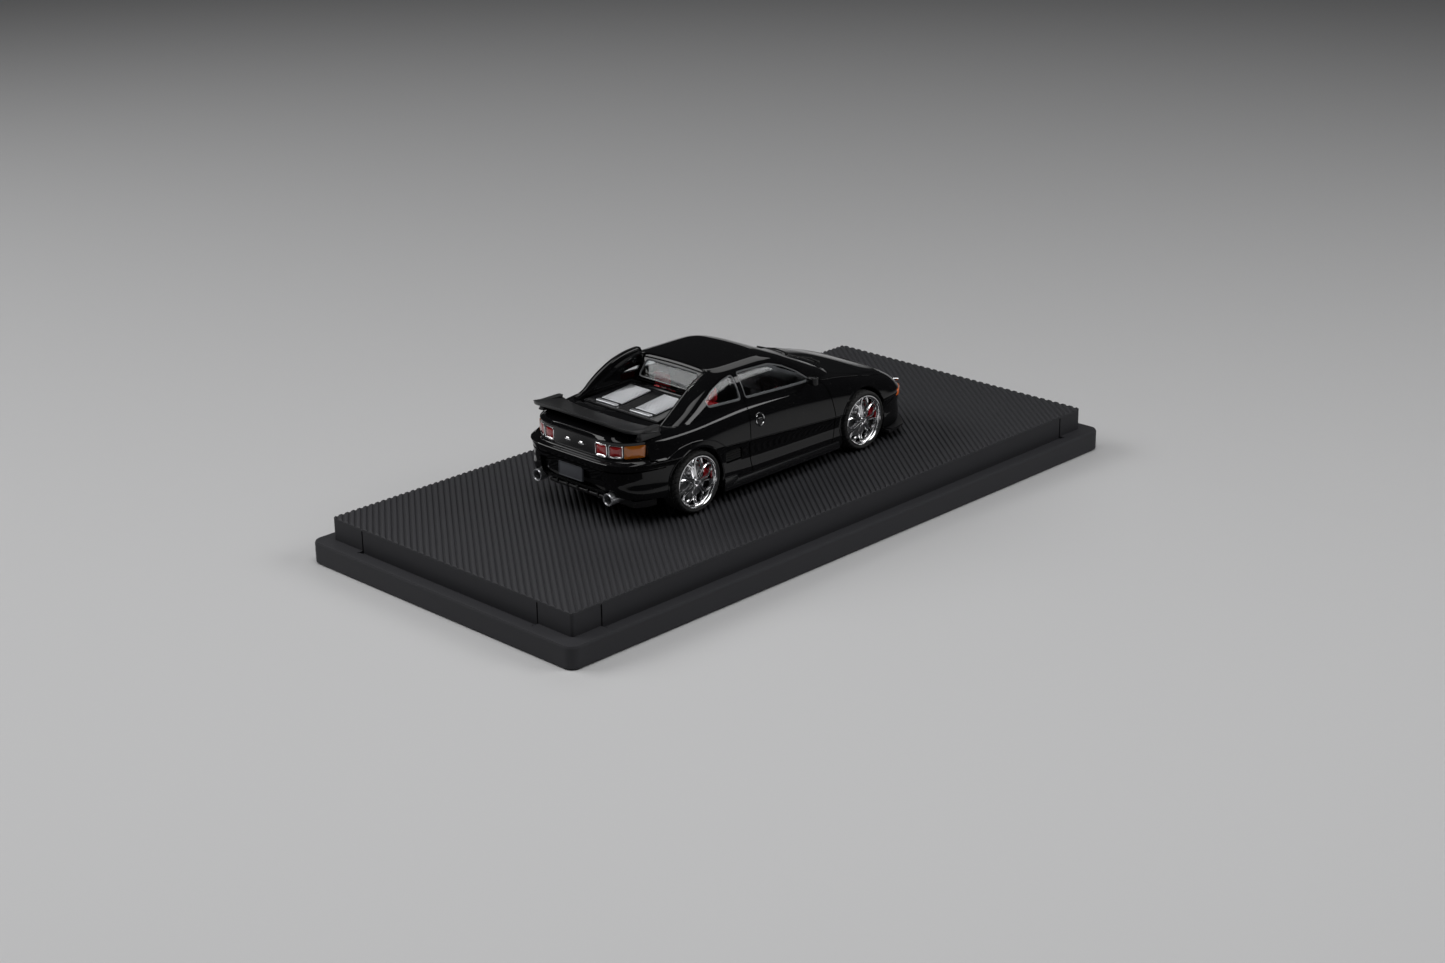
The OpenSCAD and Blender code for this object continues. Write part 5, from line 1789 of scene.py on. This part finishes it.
class BuildCabin(bpy.types.Operator):
    """Build the cabin moulding and the two seats"""

    bl_idname = "collector.build_cabin"
    bl_label = "Cabin"
    bl_options = {"REGISTER", "UNDO"}

    def execute(self, context):
        build_cabin()
        return {"FINISHED"}


class BuildEngineCover(bpy.types.Operator):
    """Build the slatted engine lid between the fins"""

    bl_idname = "collector.build_engine_cover"
    bl_label = "Engine cover"
    bl_options = {"REGISTER", "UNDO"}

    def execute(self, context):
        build_engine_cover()
        return {"FINISHED"}


class BuildWing(bpy.types.Operator):
    """Build the wing over the tail"""

    bl_idname = "collector.build_wing"
    bl_label = "Rear wing"
    bl_options = {"REGISTER", "UNDO"}

    def execute(self, context):
        build_wing()
        return {"FINISHED"}


class BuildTail(bpy.types.Operator):
    """Build the tail panel and its lamps"""

    bl_idname = "collector.build_tail"
    bl_label = "Tail"
    bl_options = {"REGISTER", "UNDO"}

    def execute(self, context):
        build_tail()
        return {"FINISHED"}


class BuildRearBumper(bpy.types.Operator):
    """Build the number plate, diffuser, silencer and exhaust tips"""

    bl_idname = "collector.build_rear_bumper"
    bl_label = "Rear bumper parts"
    bl_options = {"REGISTER", "UNDO"}

    def execute(self, context):
        build_rear_bumper()
        return {"FINISHED"}


class BuildFlanks(bpy.types.Operator):
    """Build the skirts, side intakes, door handles and mirrors"""

    bl_idname = "collector.build_flanks"
    bl_label = "Side parts"
    bl_options = {"REGISTER", "UNDO"}

    def execute(self, context):
        build_flanks()
        return {"FINISHED"}


class BuildNose(bpy.types.Operator):
    """Build the front lip, lamps, markers and wipers"""

    bl_idname = "collector.build_nose"
    bl_label = "Nose parts"
    bl_options = {"REGISTER", "UNDO"}

    def execute(self, context):
        build_nose()
        return {"FINISHED"}


class BuildWheels(bpy.types.Operator):
    """Build the four rims and tyres and finish the axles"""

    bl_idname = "collector.build_wheels"
    bl_label = "Wheels"
    bl_options = {"REGISTER", "UNDO"}

    def execute(self, context):
        build_wheels()
        return {"FINISHED"}


class BuildBrakes(bpy.types.Operator):
    """Build the brake discs and calipers"""

    bl_idname = "collector.build_brakes"
    bl_label = "Brakes"
    bl_options = {"REGISTER", "UNDO"}

    def execute(self, context):
        build_brakes()
        return {"FINISHED"}


class BuildChassis(bpy.types.Operator):
    """Finish the chassis plate and its screws"""

    bl_idname = "collector.build_chassis"
    bl_label = "Chassis"
    bl_options = {"REGISTER", "UNDO"}

    def execute(self, context):
        build_chassis()
        return {"FINISHED"}


class BuildStage(bpy.types.Operator):
    """Build the floor, the lights and the camera"""

    bl_idname = "collector.build_stage"
    bl_label = "Stage"
    bl_options = {"REGISTER", "UNDO"}

    def execute(self, context):
        build_stage()
        return {"FINISHED"}


BUILDERS = (
    BuildBase,
    BuildBody,
    BuildGlazing,
    BuildCabin,
    BuildEngineCover,
    BuildWing,
    BuildTail,
    BuildRearBumper,
    BuildFlanks,
    BuildNose,
    BuildWheels,
    BuildBrakes,
    BuildChassis,
    BuildStage,
)


class CollectorPanel(bpy.types.Panel):
    """Settings and builders of the collector car, in the 3D view's sidebar"""

    bl_idname = "COLLECTOR_PT_car"
    bl_label = "Collector car"
    bl_space_type = "VIEW_3D"
    bl_region_type = "UI"
    bl_category = "Collector"

    def draw(self, context):
        column = self.layout.column(align=True)
        for builder in BUILDERS:
            column.operator(builder.bl_idname, text=builder.bl_label)
        for group, _ in SETTINGS:
            settings_box = self.layout.box()
            owner = getattr(context.scene, group)
            for item in owner.bl_rna.properties:
                if item.identifier not in ("rna_type", "name"):
                    settings_box.prop(owner, item.identifier)


SETTINGS = (
    ("collector_base", BaseSettings),
    ("collector_car", CarSettings),
    ("collector_stage", StageSettings),
)
CLASSES = (*(kind for _, kind in SETTINGS), *BUILDERS, CollectorPanel)


def register():
    for kind in CLASSES:
        bpy.utils.register_class(kind)
    for name, kind in SETTINGS:
        setattr(bpy.types.Scene, name, PointerProperty(type=kind))


def unregister():
    for name, _ in SETTINGS:
        delattr(bpy.types.Scene, name)
    for kind in reversed(CLASSES):
        bpy.utils.unregister_class(kind)


def main():
    register()
    for builder in BUILDERS:
        group, call = builder.bl_idname.split(".")
        getattr(getattr(bpy.ops, group), call)()


if __name__ == "__main__":
    main()
